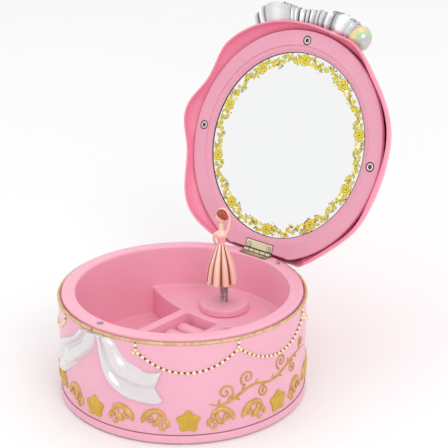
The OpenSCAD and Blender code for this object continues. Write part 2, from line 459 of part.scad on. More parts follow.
module cylinder_pinion() color(brass) gear_x(pinion_n, 0.6667, 11.0, 13.0, spin_y, cyl_z, 90, 0.8, 0.8, 0.44);
module cylinder_gear() color(brass) gear_x(32, 0.4, 36.8, 38.2, spin_y, cyl_z, 90 + 360 / 64, 0.8, 0.8, 0.42);
module governor_wheel() color([0.92, 0.92, 0.88]) difference() {
    union() {
        rod_x(0.6, 34.8, 43.9, spin_y, gov_z);
        translate([36.8, spin_y, gov_z]) rotate([90, 0, 90]) linear_extrude(1.4) gear2d(8, 0.4, 90, 0.7, 0.40);
        translate([39.6, spin_y, gov_z]) rotate([90, 0, 90]) linear_extrude(1.8) gear2d(24, 0.3, 0, 0.95, 0.5);
    }
}
module governor_fan() color(steel) translate([gov_x, gov_y, 0]) {
    translate([0, 0, 10.7]) cylinder(r = 0.6, h = 17.2, $fn = 24);
    translate([0, 0, 14]) cylinder(r = 1.55, h = 7.2, $fn = 32);
    rotate([0, 0, 25]) translate([-4.3, -0.3, 22.2]) cube([8.6, 0.6, 2.6]);
}
module stop_pin() color(steel) {
    translate([pin_p[0], pin_p[1], 24.9]) cylinder(r = 0.8, h = pin_up - 24.9, $fn = 32);
    translate([pin_p[0], pin_p[1], 44]) cylinder(r = 1.5, h = 0.8, $fn = 32);
    translate([pin_p[0], pin_p[1], 25.5]) rotate([0, 90, atan2(50.6 - pin_p[1], 34.5 - pin_p[0])]) cylinder(r = 0.5, h = 17.6, $fn = 20);
    translate([34.5, 50.6, 25.5]) sphere(r = 0.62, $fn = 20);
    translate([34.5, 50.6, 25.5]) rotate([0, 90, atan2(41.5 - 50.6, 39.1 - 34.5)]) cylinder(r = 0.5, h = 10.0, $fn = 20);
}
module stop_pin_spring() color(steel) translate([pin_p[0], pin_p[1], 0]) coil(60, 6, 1.35, 37.3, 43.7, 5, 0.22);

outer_drum();
base_plate();
felt_pad();
base_screws();
inner_tray();
ring_holder();
gold_rim_trim();
bead_swags();
star_ornaments();
scroll_ornaments();
wall_flourish();
ribbon_tail_left();
ribbon_tail_right();
closure_magnet();
hinge_lower_leaf();
hinge_pin();
hinge_lower_screws();
movement_bedplate();
movement_screws();
spring_barrel();
mainspring();
cylinder_bracket();
comb_block();
music_comb();
comb_screws();
governor_bracket();
lid_shell();
lid_plate();
mirror_glass();
mirror_backing();
lid_screws();
hinge_upper_leaf();
hinge_upper_screws();
bow_loops();
bow_knot();
turntable();
winding_arbor();
crown_gear();
doll_spring();
ballerina();
doll_skirt();
pinned_cylinder();
cylinder_axle();
cylinder_pinion();
cylinder_gear();
governor_wheel();
governor_fan();
stop_pin();
stop_pin_spring();
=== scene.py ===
import bpy, bmesh, math, random
import numpy as np
from mathutils import Vector, Matrix, noise


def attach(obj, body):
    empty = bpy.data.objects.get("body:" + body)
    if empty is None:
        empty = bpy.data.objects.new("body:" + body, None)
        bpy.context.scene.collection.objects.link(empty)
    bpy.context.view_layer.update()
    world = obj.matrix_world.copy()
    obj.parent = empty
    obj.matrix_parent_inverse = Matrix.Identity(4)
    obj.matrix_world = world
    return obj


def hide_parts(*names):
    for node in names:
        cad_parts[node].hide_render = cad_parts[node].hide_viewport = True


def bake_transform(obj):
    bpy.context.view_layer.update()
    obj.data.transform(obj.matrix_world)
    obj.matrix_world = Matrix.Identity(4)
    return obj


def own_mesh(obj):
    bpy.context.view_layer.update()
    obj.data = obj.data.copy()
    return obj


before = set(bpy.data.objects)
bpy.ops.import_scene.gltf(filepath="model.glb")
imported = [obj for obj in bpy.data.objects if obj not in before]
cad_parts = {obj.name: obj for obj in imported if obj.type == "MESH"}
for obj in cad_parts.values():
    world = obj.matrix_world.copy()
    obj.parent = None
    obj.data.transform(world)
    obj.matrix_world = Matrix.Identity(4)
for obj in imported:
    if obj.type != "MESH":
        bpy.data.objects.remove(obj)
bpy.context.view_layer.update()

MM = 0.001
R = 65.0
HY, HZ = 61.4, 57.3
LZ = 57.5
OPEN = math.radians(109.8)
SPY = 33.0
rad, sin, cos, pi = math.radians, math.sin, math.cos, math.pi
rng = random.Random(7)


# ------------------------------------------------------------------ helpers
def lid_pt(p):
    """closed-lid coordinates (mm) to the open rest pose (mm)"""
    dy, dz = p[1] - HY, p[2] - HZ
    return (p[0], HY + dy * cos(OPEN) + dz * sin(OPEN), HZ - dy * sin(OPEN) + dz * cos(OPEN))


def on_wall(s, z, h=0.0):
    """s = arc length along the drum from the front (mm), h = height above the wall"""
    a = s / R
    r = R + h
    return (r * sin(a), -r * cos(a), z)


def wall_deg(a, z, h=0.0):
    return on_wall(rad(a) * R, z, h)


def make(name, verts, faces, material, body, lid=False, smooth=True, sharp=None):
    if lid:
        verts = [lid_pt(v) for v in verts]
    me = bpy.data.meshes.new(name)
    me.from_pydata([(v[0] * MM, v[1] * MM, v[2] * MM) for v in verts], [], faces)
    me.validate()
    bm = bmesh.new()
    bm.from_mesh(me)
    bmesh.ops.remove_doubles(bm, verts=bm.verts, dist=1e-6)
    bmesh.ops.recalc_face_normals(bm, faces=bm.faces)
    bm.to_mesh(me)
    bm.free()
    me.materials.append(material)
    ob = bpy.data.objects.new(name, me)
    bpy.context.scene.collection.objects.link(ob)
    if smooth:
        me.shade_smooth()
        if sharp is not None:
            bpy.context.view_layer.update()
            me.set_sharp_from_angle(angle=rad(sharp))
    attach(ob, body)
    return ob


def apply_mods(ob):
    dg = bpy.context.evaluated_depsgraph_get()
    me = bpy.data.meshes.new_from_object(ob.evaluated_get(dg))
    old = ob.data
    ob.modifiers.clear()
    ob.data = me
    if old.users == 0:
        bpy.data.meshes.remove(old)


class Geo:
    """collects vertices and faces"""
    def __init__(self):
        self.v, self.f = [], []

    def add(self, v, f):
        n = len(self.v)
        self.v += list(v)
        self.f += [tuple(i + n for i in q) for q in f]

    def grid(self, pts, closed_u=False, closed_v=False, cap0=False, cap1=False):
        """pts[i][j]; i rows, j columns (closed_v closes the columns)"""
        nu, nv = len(pts), len(pts[0])
        v = [p for row in pts for p in row]
        f = []
        for i in range(nu if closed_u else nu - 1):
            for j in range(nv if closed_v else nv - 1):
                a, b = i * nv + j, i * nv + (j + 1) % nv
                c, d = ((i + 1) % nu) * nv + (j + 1) % nv, ((i + 1) % nu) * nv + j
                f.append((a, b, c, d))
        if cap0:
            f.append(tuple(range(nv - 1, -1, -1)))
        if cap1:
            f.append(tuple(range((nu - 1) * nv, nu * nv)))
        self.add(v, f)


def catmull(pts, n, closed=False):
    """n points per span through pts (tuples of any length)"""
    P = [np.array(p, float) for p in pts]
    m = len(P)
    out = []
    spans = m if closed else m - 1
    for i in range(spans):
        p1, p2 = P[i], P[(i + 1) % m]
        p0 = P[i - 1] if (i > 0 or closed) else 2 * p1 - p2
        p3 = P[(i + 2) % m] if (i + 2 < m or closed) else 2 * p2 - p1
        for k in range(n):
            t = k / n
            out.append(tuple(0.5 * ((2 * p1) + (-p0 + p2) * t + (2 * p0 - 5 * p1 + 4 * p2 - p3) * t * t + (-p0 + 3 * p1 - 3 * p2 + p3) * t ** 3)))
    if not closed:
        out.append(tuple(P[-1]))
    return out


def tube(geo, path, radii, sides=10, closed=False, flat=None):
    """round tube through 3-D points (mm); flat=(normal function, factor) squashes the section"""
    P = [Vector(p) for p in path]
    n = len(P)
    rows = []
    prev = None
    for i in range(n):
        if closed:
            t = (P[(i + 1) % n] - P[i - 1]).normalized()
        else:
            t = (P[min(i + 1, n - 1)] - P[max(i - 1, 0)]).normalized()
        if flat:
            nrm = Vector(flat[0](P[i]))
            nrm = (nrm - t * nrm.dot(t)).normalized()
        else:
            if prev is None:
                ref = Vector((0, 0, 1)) if abs(t.z) < 0.9 else Vector((1, 0, 0))
                nrm = (ref - t * ref.dot(t)).normalized()
            else:
                nrm = (prev - t * prev.dot(t)).normalized()
            prev = nrm
        b = t.cross(nrm)
        r = radii[i] if hasattr(radii, "__len__") else radii
        k = flat[1] if flat else 1.0
        rows.append([tuple(P[i] + nrm * (r * k * cos(2 * pi * j / sides)) + b * (r * sin(2 * pi * j / sides))) for j in range(sides)])
    geo.grid(rows, closed_u=closed, closed_v=True, cap0=not closed, cap1=not closed)


def ball(geo, c, r, nu=8, nv=12, sc=(1, 1, 1)):
    v, f = [(c[0], c[1], c[2] + r * sc[2])], []
    for i in range(1, nu):
        a = pi * i / nu
        for j in range(nv):
            b = 2 * pi * j / nv
            v.append((c[0] + r * sc[0] * sin(a) * cos(b), c[1] + r * sc[1] * sin(a) * sin(b), c[2] + r * sc[2] * cos(a)))
    v.append((c[0], c[1], c[2] - r * sc[2]))
    for j in range(nv):
        f.append((0, 1 + j, 1 + (j + 1) % nv))
    for i in range(nu - 2):
        for j in range(nv):
            a = 1 + i * nv
            f.append((a + j, a + nv + j, a + nv + (j + 1) % nv, a + (j + 1) % nv))
    last = len(v) - 1
    a = 1 + (nu - 2) * nv
    for j in range(nv):
        f.append((last, a + (j + 1) % nv, a + j))
    geo.add(v, f)


def wall_n(p):
    return (p[0], p[1], 0)


# ------------------------------------------------------------------ materials
def srgb(r, g, b):
    def c(u):
        u /= 255.0
        return u / 12.92 if u <= 0.04045 else ((u + 0.055) / 1.055) ** 2.4
    return (c(r), c(g), c(b), 1.0)


def material(name, col, col2=None, scale=60.0, rough=0.35, rough2=None, rscale=180.0, bump=0.0, bscale=900.0, bdist=0.0001,
             metallic=0.0, coat=0.0, coat_rough=0.1, sheen=0.0, sss=0.0, ior=1.5, aniso=0.0, detail=4.0, stretch=(1, 1, 1),
             spec=0.5, ramp=None, film=0.0, alpha=None):
    m = bpy.data.materials.new(name)
    m.use_nodes = True
    nt = m.node_tree
    nt.nodes.clear()
    N = nt.nodes.new
    out = N("ShaderNodeOutputMaterial")
    b = N("ShaderNodeBsdfPrincipled")
    nt.links.new(b.outputs[0], out.inputs[0])
    tc = N("ShaderNodeTexCoord")
    mp = N("ShaderNodeMapping")
    mp.inputs["Scale"].default_value = stretch
    nt.links.new(tc.outputs["Object"], mp.inputs["Vector"])

    def nz(s, d=detail):
        n = N("ShaderNodeTexNoise")
        n.inputs["Scale"].default_value = s
        n.inputs["Detail"].default_value = d
        nt.links.new(mp.outputs[0], n.inputs["Vector"])
        return n
    n1 = nz(scale)
    cr = N("ShaderNodeValToRGB")
    cr.color_ramp.elements[0].position = 0.3
    cr.color_ramp.elements[1].position = 0.7
    cr.color_ramp.elements[0].color = col
    cr.color_ramp.elements[1].color = col2 or tuple(min(1, c * 1.07) for c in col[:3]) + (1,)
    nt.links.new(n1.outputs["Fac"], cr.inputs[0])
    nt.links.new(cr.outputs[0], b.inputs["Base Color"])
    n2 = nz(rscale)
    mr = N("ShaderNodeMapRange")
    mr.inputs["From Min"].default_value = 0.3
    mr.inputs["From Max"].default_value = 0.7
    mr.inputs["To Min"].default_value = rough
    mr.inputs["To Max"].default_value = rough2 if rough2 is not None else min(1, rough * 1.25)
    nt.links.new(n2.outputs["Fac"], mr.inputs["Value"])
    nt.links.new(mr.outputs[0], b.inputs["Roughness"])
    if bump:
        n3 = nz(bscale, 3.0)
        bp = N("ShaderNodeBump")
        bp.inputs["Strength"].default_value = bump
        bp.inputs["Distance"].default_value = bdist
        nt.links.new(n3.outputs["Fac"], bp.inputs["Height"])
        nt.links.new(bp.outputs[0], b.inputs["Normal"])
    b.inputs["Metallic"].default_value = metallic
    b.inputs["IOR"].default_value = ior
    b.inputs["Specular IOR Level"].default_value = spec
    b.inputs["Coat Weight"].default_value = coat
    b.inputs["Coat Roughness"].default_value = coat_rough
    b.inputs["Sheen Weight"].default_value = sheen
    b.inputs["Anisotropic"].default_value = aniso
    if sss:
        b.inputs["Subsurface Weight"].default_value = sss
        b.inputs["Subsurface Radius"].default_value = (1.0, 0.35, 0.3)
        b.inputs["Subsurface Scale"].default_value = 0.002
    if film:
        b.inputs["Thin Film Thickness"].default_value = film
        b.inputs["Thin Film IOR"].default_value = 1.45
    return m


M = {}
M["case"] = material("case_pink", srgb(232, 168, 188), srgb(236, 174, 193), scale=35, rough=0.30, rough2=0.38, bump=0.10, bscale=1300, bdist=0.00006, coat=0.25, coat_rough=0.12, spec=0.5)
M["tray"] = material("tray_pink", srgb(243, 173, 194), srgb(246, 179, 199), scale=30, rough=0.34, rough2=0.42, bump=0.10, bscale=1300, bdist=0.00006, coat=0.2, coat_rough=0.15)
M["rimp"] = M["tray"]
M["lid"] = material("lid_pink", srgb(244, 138, 166), srgb(248, 146, 174), scale=28, rough=0.28, rough2=0.36, bump=0.10, bscale=1100, bdist=0.00006, coat=0.3, coat_rough=0.1)
M["plate"] = material("plate_pink", srgb(224, 154, 175), srgb(229, 160, 182), scale=40, rough=0.30, rough2=0.40, bump=0.12, bscale=1500, bdist=0.00005, coat=0.2, coat_rough=0.12)
M["gold"] = material("gold_paint", srgb(214, 170, 92), srgb(190, 142, 66), scale=260, rough=0.32, rough2=0.48, bump=0.35, bscale=1500, bdist=0.00015, metallic=0.55, spec=0.5)
M["goldtrim"] = material("gold_trim", srgb(232, 206, 160), srgb(204, 168, 118), scale=420, rough=0.30, rough2=0.5, bump=0.35, bscale=2200, bdist=0.0001, metallic=0.4)
M["star"] = material("star_gold", srgb(212, 176, 66), srgb(198, 158, 52), scale=220, rough=0.32, rough2=0.44, bump=0.25, bscale=1200, bdist=0.00012, metallic=0.35)
M["bead"] = material("bead_pearl", srgb(248, 232, 200), srgb(240, 214, 168), scale=500, rough=0.22, rough2=0.34, coat=0.5, coat_rough=0.08, metallic=0.1)
M["pearl"] = material("pearl_white", srgb(216, 208, 210), srgb(228, 222, 224), scale=45, rough=0.16, rough2=0.26, bump=0.12, bscale=900, bdist=0.00006, coat=0.7, coat_rough=0.05, metallic=0.25, film=0.0)
M["pearl2"] = material("pearl_silver", srgb(206, 208, 210), srgb(226, 228, 230), scale=60, rough=0.24, rough2=0.36, bump=0.12, bscale=1100, bdist=0.00006, coat=0.5, coat_rough=0.08, metallic=0.35)
M["irid"] = material("pearl_iridescent", srgb(214, 206, 196), srgb(232, 224, 214), scale=60, rough=0.16, rough2=0.26, bump=0.10, bscale=1100, bdist=0.00006, coat=0.8, coat_rough=0.05, metallic=0.45, film=470.0)
# spacer links between the beads, dark as painted shade in the gaps
M["link"] = material("link_gap_painted_shade", srgb(120, 84, 58), srgb(92, 60, 44), scale=400, rough=0.35, rough2=0.5, metallic=0.5)
M["scroll"] = material("scroll_gold", srgb(222, 182, 104), srgb(202, 156, 80), scale=260, rough=0.32, rough2=0.48, bump=0.35, bscale=1500, bdist=0.00015, metallic=0.5, spec=0.5)
# painted highlight for the lid screw heads
M["bright"] = material("painted_highlight_ring", srgb(236, 234, 234), srgb(214, 210, 212), scale=500, rough=0.2, rough2=0.32, metallic=0.7)
# painted shade for the gap between the drum and its plinth
M["joint"] = material("joint_shadow", srgb(132, 72, 92), srgb(150, 84, 104), scale=400, rough=0.5, rough2=0.7, bump=0.2)
M["glitter"] = material("glitter_strip", srgb(210, 212, 218), srgb(90, 92, 98), scale=1600, rough=0.12, rough2=0.3, metallic=0.9, bump=0.8, bscale=2600, bdist=0.0003)
M["brass"] = material("pale_brass", srgb(222, 214, 182), srgb(196, 184, 146), scale=260, rough=0.24, rough2=0.4, metallic=0.85, bump=0.2, bscale=900, bdist=0.00006, stretch=(0.2, 1, 1))
M["brass2"] = material("movement_brass", srgb(212, 176, 96), srgb(190, 150, 74), scale=150, rough=0.28, rough2=0.42, metallic=1.0, bump=0.2, bscale=700, bdist=0.00008, stretch=(0.2, 1, 1))
M["steel"] = material("plated_steel", srgb(196, 198, 202), srgb(160, 162, 168), scale=300, rough=0.20, rough2=0.34, metallic=1.0, bump=0.12, bscale=1500, bdist=0.00005)
M["screw"] = material("screw_steel", srgb(186, 180, 182), srgb(120, 112, 116), scale=700, rough=0.26, rough2=0.42, metallic=1.0, bump=0.3, bscale=2500, bdist=0.00008)
M["iron"] = material("cast_grey", srgb(96, 96, 100), srgb(74, 74, 78), scale=300, rough=0.55, rough2=0.7, metallic=0.8, bump=0.6, bscale=1400, bdist=0.0002)
M["magnet"] = material("magnet_nickel", srgb(150, 140, 146), srgb(186, 178, 182), scale=600, rough=0.25, rough2=0.4, metallic=1.0)
M["nylon"] = material("moulded_nylon", srgb(236, 236, 226), srgb(226, 226, 214), scale=200, rough=0.45, rough2=0.6, bump=0.2, bscale=1200)
M["card"] = material("grey_card", srgb(170, 164, 152), srgb(150, 144, 132), scale=900, rough=0.8, rough2=0.95, bump=0.4, bscale=2200)
M["felt"] = material("dark_felt", srgb(58, 50, 54), srgb(80, 70, 75), scale=1800, rough=0.9, rough2=1.0, bump=0.9, bscale=3500, bdist=0.0003, sheen=0.6)
# painted shade: dark lines and discs laid into gaps, recesses and edges where shade falls
M["dark"] = material("painted_shade_line", srgb(60, 34, 44), srgb(84, 48, 60), scale=400, rough=0.5, rough2=0.7, bump=0.2)
M["skin"] = material("doll_skin", srgb(250, 208, 184), srgb(252, 214, 192), scale=300, rough=0.38, rough2=0.48, bump=0.1, bscale=1500, sss=0.0, coat=0.2, coat_rough=0.2)
M["hair"] = material("doll_hair", srgb(196, 70, 26), srgb(128, 38, 14), scale=700, rough=0.28, rough2=0.45, bump=0.7, bscale=1600, bdist=0.0002, stretch=(1, 1, 0.35), coat=0.4)
M["bodice"] = material("doll_bodice", srgb(248, 176, 176), srgb(250, 190, 186), scale=400, rough=0.30, rough2=0.42, bump=0.3, bscale=2600, bdist=0.00008, sheen=0.4)
M["lips"] = material("doll_lips", srgb(206, 84, 84), srgb(190, 70, 74), scale=800, rough=0.3)
M["eyes"] = material("doll_eyes", srgb(46, 30, 28), srgb(60, 40, 34), scale=800, rough=0.25)


def mirror_material():
    m = bpy.data.materials.new("mirror_silver")
    m.use_nodes = True
    nt = m.node_tree
    nt.nodes.clear()
    N = nt.nodes.new
    out, b = N("ShaderNodeOutputMaterial"), N("ShaderNodeBsdfPrincipled")
    nt.links.new(b.outputs[0], out.inputs[0])
    tc, n = N("ShaderNodeTexCoord"), N("ShaderNodeTexNoise")
    n.inputs["Scale"].default_value = 25
    nt.links.new(tc.outputs["Object"], n.inputs["Vector"])
    cr = N("ShaderNodeValToRGB")
    cr.color_ramp.elements[0].color = (0.70, 0.705, 0.71, 1)
    cr.color_ramp.elements[1].color = (0.72, 0.725, 0.73, 1)
    nt.links.new(n.outputs["Fac"], cr.inputs[0])
    nt.links.new(cr.outputs[0], b.inputs["Base Color"])
    mr = N("ShaderNodeMapRange")
    mr.inputs["To Min"].default_value = 0.012
    mr.inputs["To Max"].default_value = 0.03
    nt.links.new(n.outputs["Fac"], mr.inputs["Value"])
    nt.links.new(mr.outputs[0], b.inputs["Roughness"])
    b.inputs["Metallic"].default_value = 1.0
    return m


M["mirror"] = mirror_material()


def satin_material():
    """peach satin with painted shade in the pleat valleys, dark brown to golden, and painted highlight on the pleat
    crests; fine weave bump
    """
    m = material("satin_peach", srgb(250, 196, 178), srgb(246, 182, 166), scale=260, rough=0.26, rough2=0.4, bump=0.25, bscale=4200, bdist=0.00005, sheen=0.5, coat=0.2, coat_rough=0.2)
    nt = m.node_tree
    N = nt.nodes.new
    b = [n for n in nt.nodes if n.type == "BSDF_PRINCIPLED"][0]
    cr = [n for n in nt.nodes if n.type == "VALTORGB"][0]
    at = N("ShaderNodeAttribute")
    at.attribute_name = "painted_light"
    r2 = N("ShaderNodeValToRGB")
    e = r2.color_ramp.elements
    e[0].position, e[0].color = 0.0, srgb(48, 24, 14)
    e[1].position, e[1].color = 1.0, srgb(255, 226, 214)
    k = e.new(0.40)
    k.color = srgb(112, 62, 30)
    k = e.new(0.56)
    k.color = srgb(206, 138, 86)
    k = e.new(0.72)
    k.color = srgb(246, 188, 166)
    nt.links.new(at.outputs["Fac"], r2.inputs[0])
    mx = N("ShaderNodeMix")
    mx.data_type = "RGBA"
    mx.blend_type = "MIX"
    mx.inputs[0].default_value = 0.95
    nt.links.new(cr.outputs[0], mx.inputs[6])
    nt.links.new(r2.outputs[0], mx.inputs[7])
    nt.links.new(mx.outputs[2], b.inputs["Base Color"])
    return m


M["satin"] = satin_material()


def ramp_over(m, attr, stops, mix):
    """tints material m by a point attribute"""
    nt = m.node_tree
    N = nt.nodes.new
    b = [n for n in nt.nodes if n.type == "BSDF_PRINCIPLED"][0]
    cr = [n for n in nt.nodes if n.type == "VALTORGB"][0]
    at = N("ShaderNodeAttribute")
    at.attribute_name = attr
    r2 = N("ShaderNodeValToRGB")
    e = r2.color_ramp.elements
    e[0].position, e[0].color = stops[0][0], srgb(*stops[0][1])
    e[1].position, e[1].color = stops[-1][0], srgb(*stops[-1][1])
    for pos, col in stops[1:-1]:
        k = e.new(pos)
        k.color = srgb(*col)
    nt.links.new(at.outputs["Fac"], r2.inputs[0])
    mx = N("ShaderNodeMix")
    mx.data_type = "RGBA"
    mx.inputs[0].default_value = mix
    nt.links.new(cr.outputs[0], mx.inputs[6])
    nt.links.new(r2.outputs[0], mx.inputs[7])
    nt.links.new(mx.outputs[2], b.inputs["Base Color"])
    return m


# painted shade in the bow's creases (dark grey) and painted highlight on its ridges (white)
ramp_over(M["pearl2"], "painted_light", [(0.0, (44, 46, 52)), (0.26, (110, 114, 120)), (0.42, (176, 182, 186)), (0.52, (198, 204, 206)), (0.66, (226, 228, 226)), (0.8, (252, 252, 250))], 0.94)
# painted iridescent sheen: pink, yellow, green and back to pink across the loop end
ramp_over(M["irid"], "painted_light", [(0.0, (226, 172, 160)), (0.22, (238, 200, 160)), (0.42, (236, 214, 140)), (0.6, (190, 214, 160)), (0.8, (168, 200, 184)), (1.0, (206, 190, 196))], 0.88)

# CAD nodes that keep their shape get their material here
CAD_MAT = dict(outer_drum="case", base_plate="case", felt_pad="felt", base_screws="screw", inner_tray="tray", ring_holder="tray",
    closure_magnet="magnet", hinge_lower_leaf="brass", hinge_upper_leaf="brass", hinge_pin="brass", hinge_lower_screws="brass", hinge_upper_screws="brass",
    movement_bedplate="brass2", movement_screws="screw", spring_barrel="brass2", mainspring="steel", cylinder_bracket="brass2", comb_block="iron", music_comb="steel",
    comb_screws="screw", governor_bracket="brass2", lid_plate="plate", mirror_glass="mirror", mirror_backing="card", lid_screws="screw",
    turntable="tray", winding_arbor="steel", crown_gear="brass2", pinned_cylinder="brass2", cylinder_axle="steel", cylinder_pinion="brass2", cylinder_gear="brass2",
    governor_wheel="nylon", governor_fan="steel", stop_pin="steel", stop_pin_spring="steel",
    gold_rim_trim="goldtrim", bead_swags="bead", star_ornaments="star", scroll_ornaments="gold", wall_flourish="gold", ribbon_tail_left="pearl", ribbon_tail_right="pearl",
    lid_shell="lid", bow_loops="pearl2", bow_knot="pearl2", doll_spring="steel", ballerina="skin", doll_skirt="satin")
for n, k in CAD_MAT.items():
    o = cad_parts[n]
    o.data.materials.clear()
    o.data.materials.append(M[k])
    o.data.shade_smooth()
    o.data.set_sharp_from_angle(angle=rad(28))


# ------------------------------------------------------------------ softened copies of CAD shells (rounded mould edges)
def soften(name, node, body, mat, voxel=0.5, smooth=3):
    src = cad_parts[node]
    me = src.data.copy()
    ob = bpy.data.objects.new(name, me)
    bpy.context.scene.collection.objects.link(ob)
    md = ob.modifiers.new("r", "REMESH")
    md.mode = "VOXEL"
    md.voxel_size = voxel * MM
    md.use_smooth_shade = True
    sm = ob.modifiers.new("s", "SMOOTH")
    sm.factor = 0.5
    sm.iterations = smooth
    apply_mods(ob)
    ob.data.materials.clear()
    ob.data.materials.append(M[mat])
    ob.data.shade_smooth()
    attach(ob, body)
    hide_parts(node)
    return ob


if True:
    soften("tray_liner", "inner_tray", "case", "tray", voxel=0.55, smooth=4)
    soften("ring_roll_insert", "ring_holder", "case", "tray", voxel=0.5, smooth=5)
    soften("ribbed_turntable", "turntable", "turntable", "tray", voxel=0.22, smooth=3)


# ------------------------------------------------------------------ lid shell
LOBE_K = [(-180, 0.3), (-158, 0), (-131.5, 1), (-105, 0), (-85, 1), (-66, 0), (-44, 1), (13, 0), (30, 0.75), (46.5, 0),
          (73.5, 0.85), (100, 0), (118, 0.6), (137, 0), (157, 0.6), (180, 0.3)]
DO = [-6, -3, 0, 1.2, 4, 8, 12, 16.5, 20.5, 23.4, 24.9, 25.4]
DR = [67.4, 67.3, 67.2, 67.0, 65.5, 63.5, 59.5, 50, 38.5, 24, 10, 0.0]
DA = [3.9, 3.6, 2.6, 2.2, 1.2, 0.7, 0.5, 0.35, 0.2, 0.1, 0, 0]


def lobe(a):
    a = (a + 180) % 360 - 180
    for (a0, t0), (a1, t1) in zip(LOBE_K, LOBE_K[1:]):
        if a <= a1:
            return t0 + (t1 - t0) * (0.5 - 0.5 * cos(pi * (a - a0) / (a1 - a0)))
    return 0.3


def pchip(xs, ys):
    xs, ys = np.array(xs, float), np.array(ys, float)
    h, d = np.diff(xs), np.diff(ys) / np.diff(xs)
    m = np.zeros(len(xs))
    m[0], m[-1] = d[0], d[-1]
    for i in range(1, len(xs) - 1):
        if d[i - 1] * d[i] > 0:
            w1, w2 = 2 * h[i] + h[i - 1], h[i] + 2 * h[i - 1]
            m[i] = (w1 + w2) / (w1 / d[i - 1] + w2 / d[i])

    def f(x):
        x = min(max(x, xs[0]), xs[-1])
        i = min(int(np.searchsorted(xs, x, "right")) - 1, len(xs) - 2)
        t = (x - xs[i]) / h[i]
        return ((1 + 2 * t) * (1 - t) ** 2 * ys[i] + t * (1 - t) ** 2 * h[i] * m[i] + t * t * (3 - 2 * t) * ys[i + 1] + t * t * (t - 1) * h[i] * m[i + 1])
    return f


fR, fA = pchip(DO, DR), pchip(DO, DA)


def dome_w(o, t):
    return fR(o) + t * fA(o)


def lip_drop(t):
    return -3 - 2.5 * t


def relief(x, y):
    return 1.063 * (math.sqrt(max(1, 67.5 ** 2 - x * x)) - HY + 0.2) + 0.36 * (y - HY) - 0.2


def lip_o(a, t):
    o = 3.0
    for _ in range(8):
        r = dome_w(o, t)
        o = max(lip_drop(t), relief(r * sin(rad(a)), -r * cos(rad(a))) if abs(a - 180) < 60 else -9)
    return o + 0.15


def build_lid_shell():
    g = Geo()
    n = 360
    lips = []
    for j in range(n):
        a = 360.0 * j / n
        t = lobe(a)
        lips.append((a, t, lip_o(a, t)))
    rows = []

    def row(fn):
        rows.append([fn(a, t, l) for (a, t, l) in lips])

    def pt(a, r, o):
        return (r * sin(rad(a)), -r * cos(rad(a)), LZ + o)
    # outer skin from the top down to the lip
    ks = [0.004, 0.012, 0.025, 0.045, 0.07, 0.10, 0.14, 0.18, 0.23, 0.28, 0.34, 0.40, 0.46, 0.52, 0.58, 0.64, 0.70, 0.76, 0.82, 0.87, 0.91, 0.945, 0.97]
    for k in ks:
        def fo(a, t, l, k=k):
            o = 25.4 - (25.4 - l) * k ** 1.8
            return pt(a, dome_w(o, t), o)
        row(fo)
    # rounded lip, thin where it passes the rim of the case
    for ang in (90, 60, 30, 0, -30, -60, -90, -110):
        def fl(a, t, l, ang=ang):
            return pt(a, dome_w(l, t) - 0.62 + 0.62 * sin(rad(ang)), l + 0.5 - 0.5 * cos(rad(ang)))
        row(fl)
    for k in ks[::-1][2:]:
        def fi(a, t, l, k=k):
            o = 25.4 - (25.4 - l) * k ** 1.8
            w = max(0.0, min(1.0, (o - max(-0.6, l)) / 3.1))
            r = dome_w(min(o + 0.9 * w, 25.2), t)
            return pt(a, max(0.0, r - 1.25 - 0.85 * w), min(o, 23.0))
        row(fi)
    g.v, g.f = [], []
    g.grid(rows, closed_v=True)
    top = len(g.v)
    g.v.append((0, 0, LZ + 25.4))
    for j in range(n):
        g.f.append((top, (j + 1) % n, j))
    base = (len(rows) - 1) * n
    bot = len(g.v)
    g.v.append((0, 0, LZ + 23.0))
    for j in range(n):
        g.f.append((bot, base + j, base + (j + 1) % n))
    # hinge block inside the back of the dome
    ob = make("scalloped_lid_shell", g.v, g.f, M["lid"], "lid", lid=True)
    gb = Geo()
    x1, y1, y2, z1, z2 = 15.0, 54.6, 59.0, LZ + 2.3, LZ + 9.9
    bev = 0.5
    pts = []
    for (z, i) in ((z1, bev), (z1 + bev, 0), (z2 - bev, 0), (z2, bev)):
        pts.append([(-x1 + i, y1 + i, z), (x1 - i, y1 + i, z), (x1 - i, y2 - i, z), (-x1 + i, y2 - i, z)])
    gb.grid(pts, closed_v=True, cap0=True, cap1=True)
    ob2 = make("lid_hinge_block", gb.v, gb.f, M["lid"], "lid", lid=True, sharp=30)
    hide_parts("lid_shell")
    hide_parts("lid_shell")


build_lid_shell()


# ------------------------------------------------------------------ rim trim: twisted gold cord
def build_trim():
    g = Geo()
    n = 420
    for s in range(3):
        path = []
        for i in range(n):
            a = 2 * pi * i / n
            ph = 60 * a + 2 * pi * s / 3
            rr, zz = 64.72 + 0.4 * cos(ph), 55.0 + 0.4 * sin(ph)
            path.append((rr * sin(a), -rr * cos(a), zz))
        tube(g, path, 0.46, sides=8, closed=True)
    ob = make("gold_cord_trim", g.v, g.f, M["goldtrim"], "case")
    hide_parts("gold_rim_trim")


build_trim()


# ------------------------------------------------------------------ bead swags
def swag_z(u):
    return 39.7 + 10.3 * abs(2 * u - 1) ** 2.1


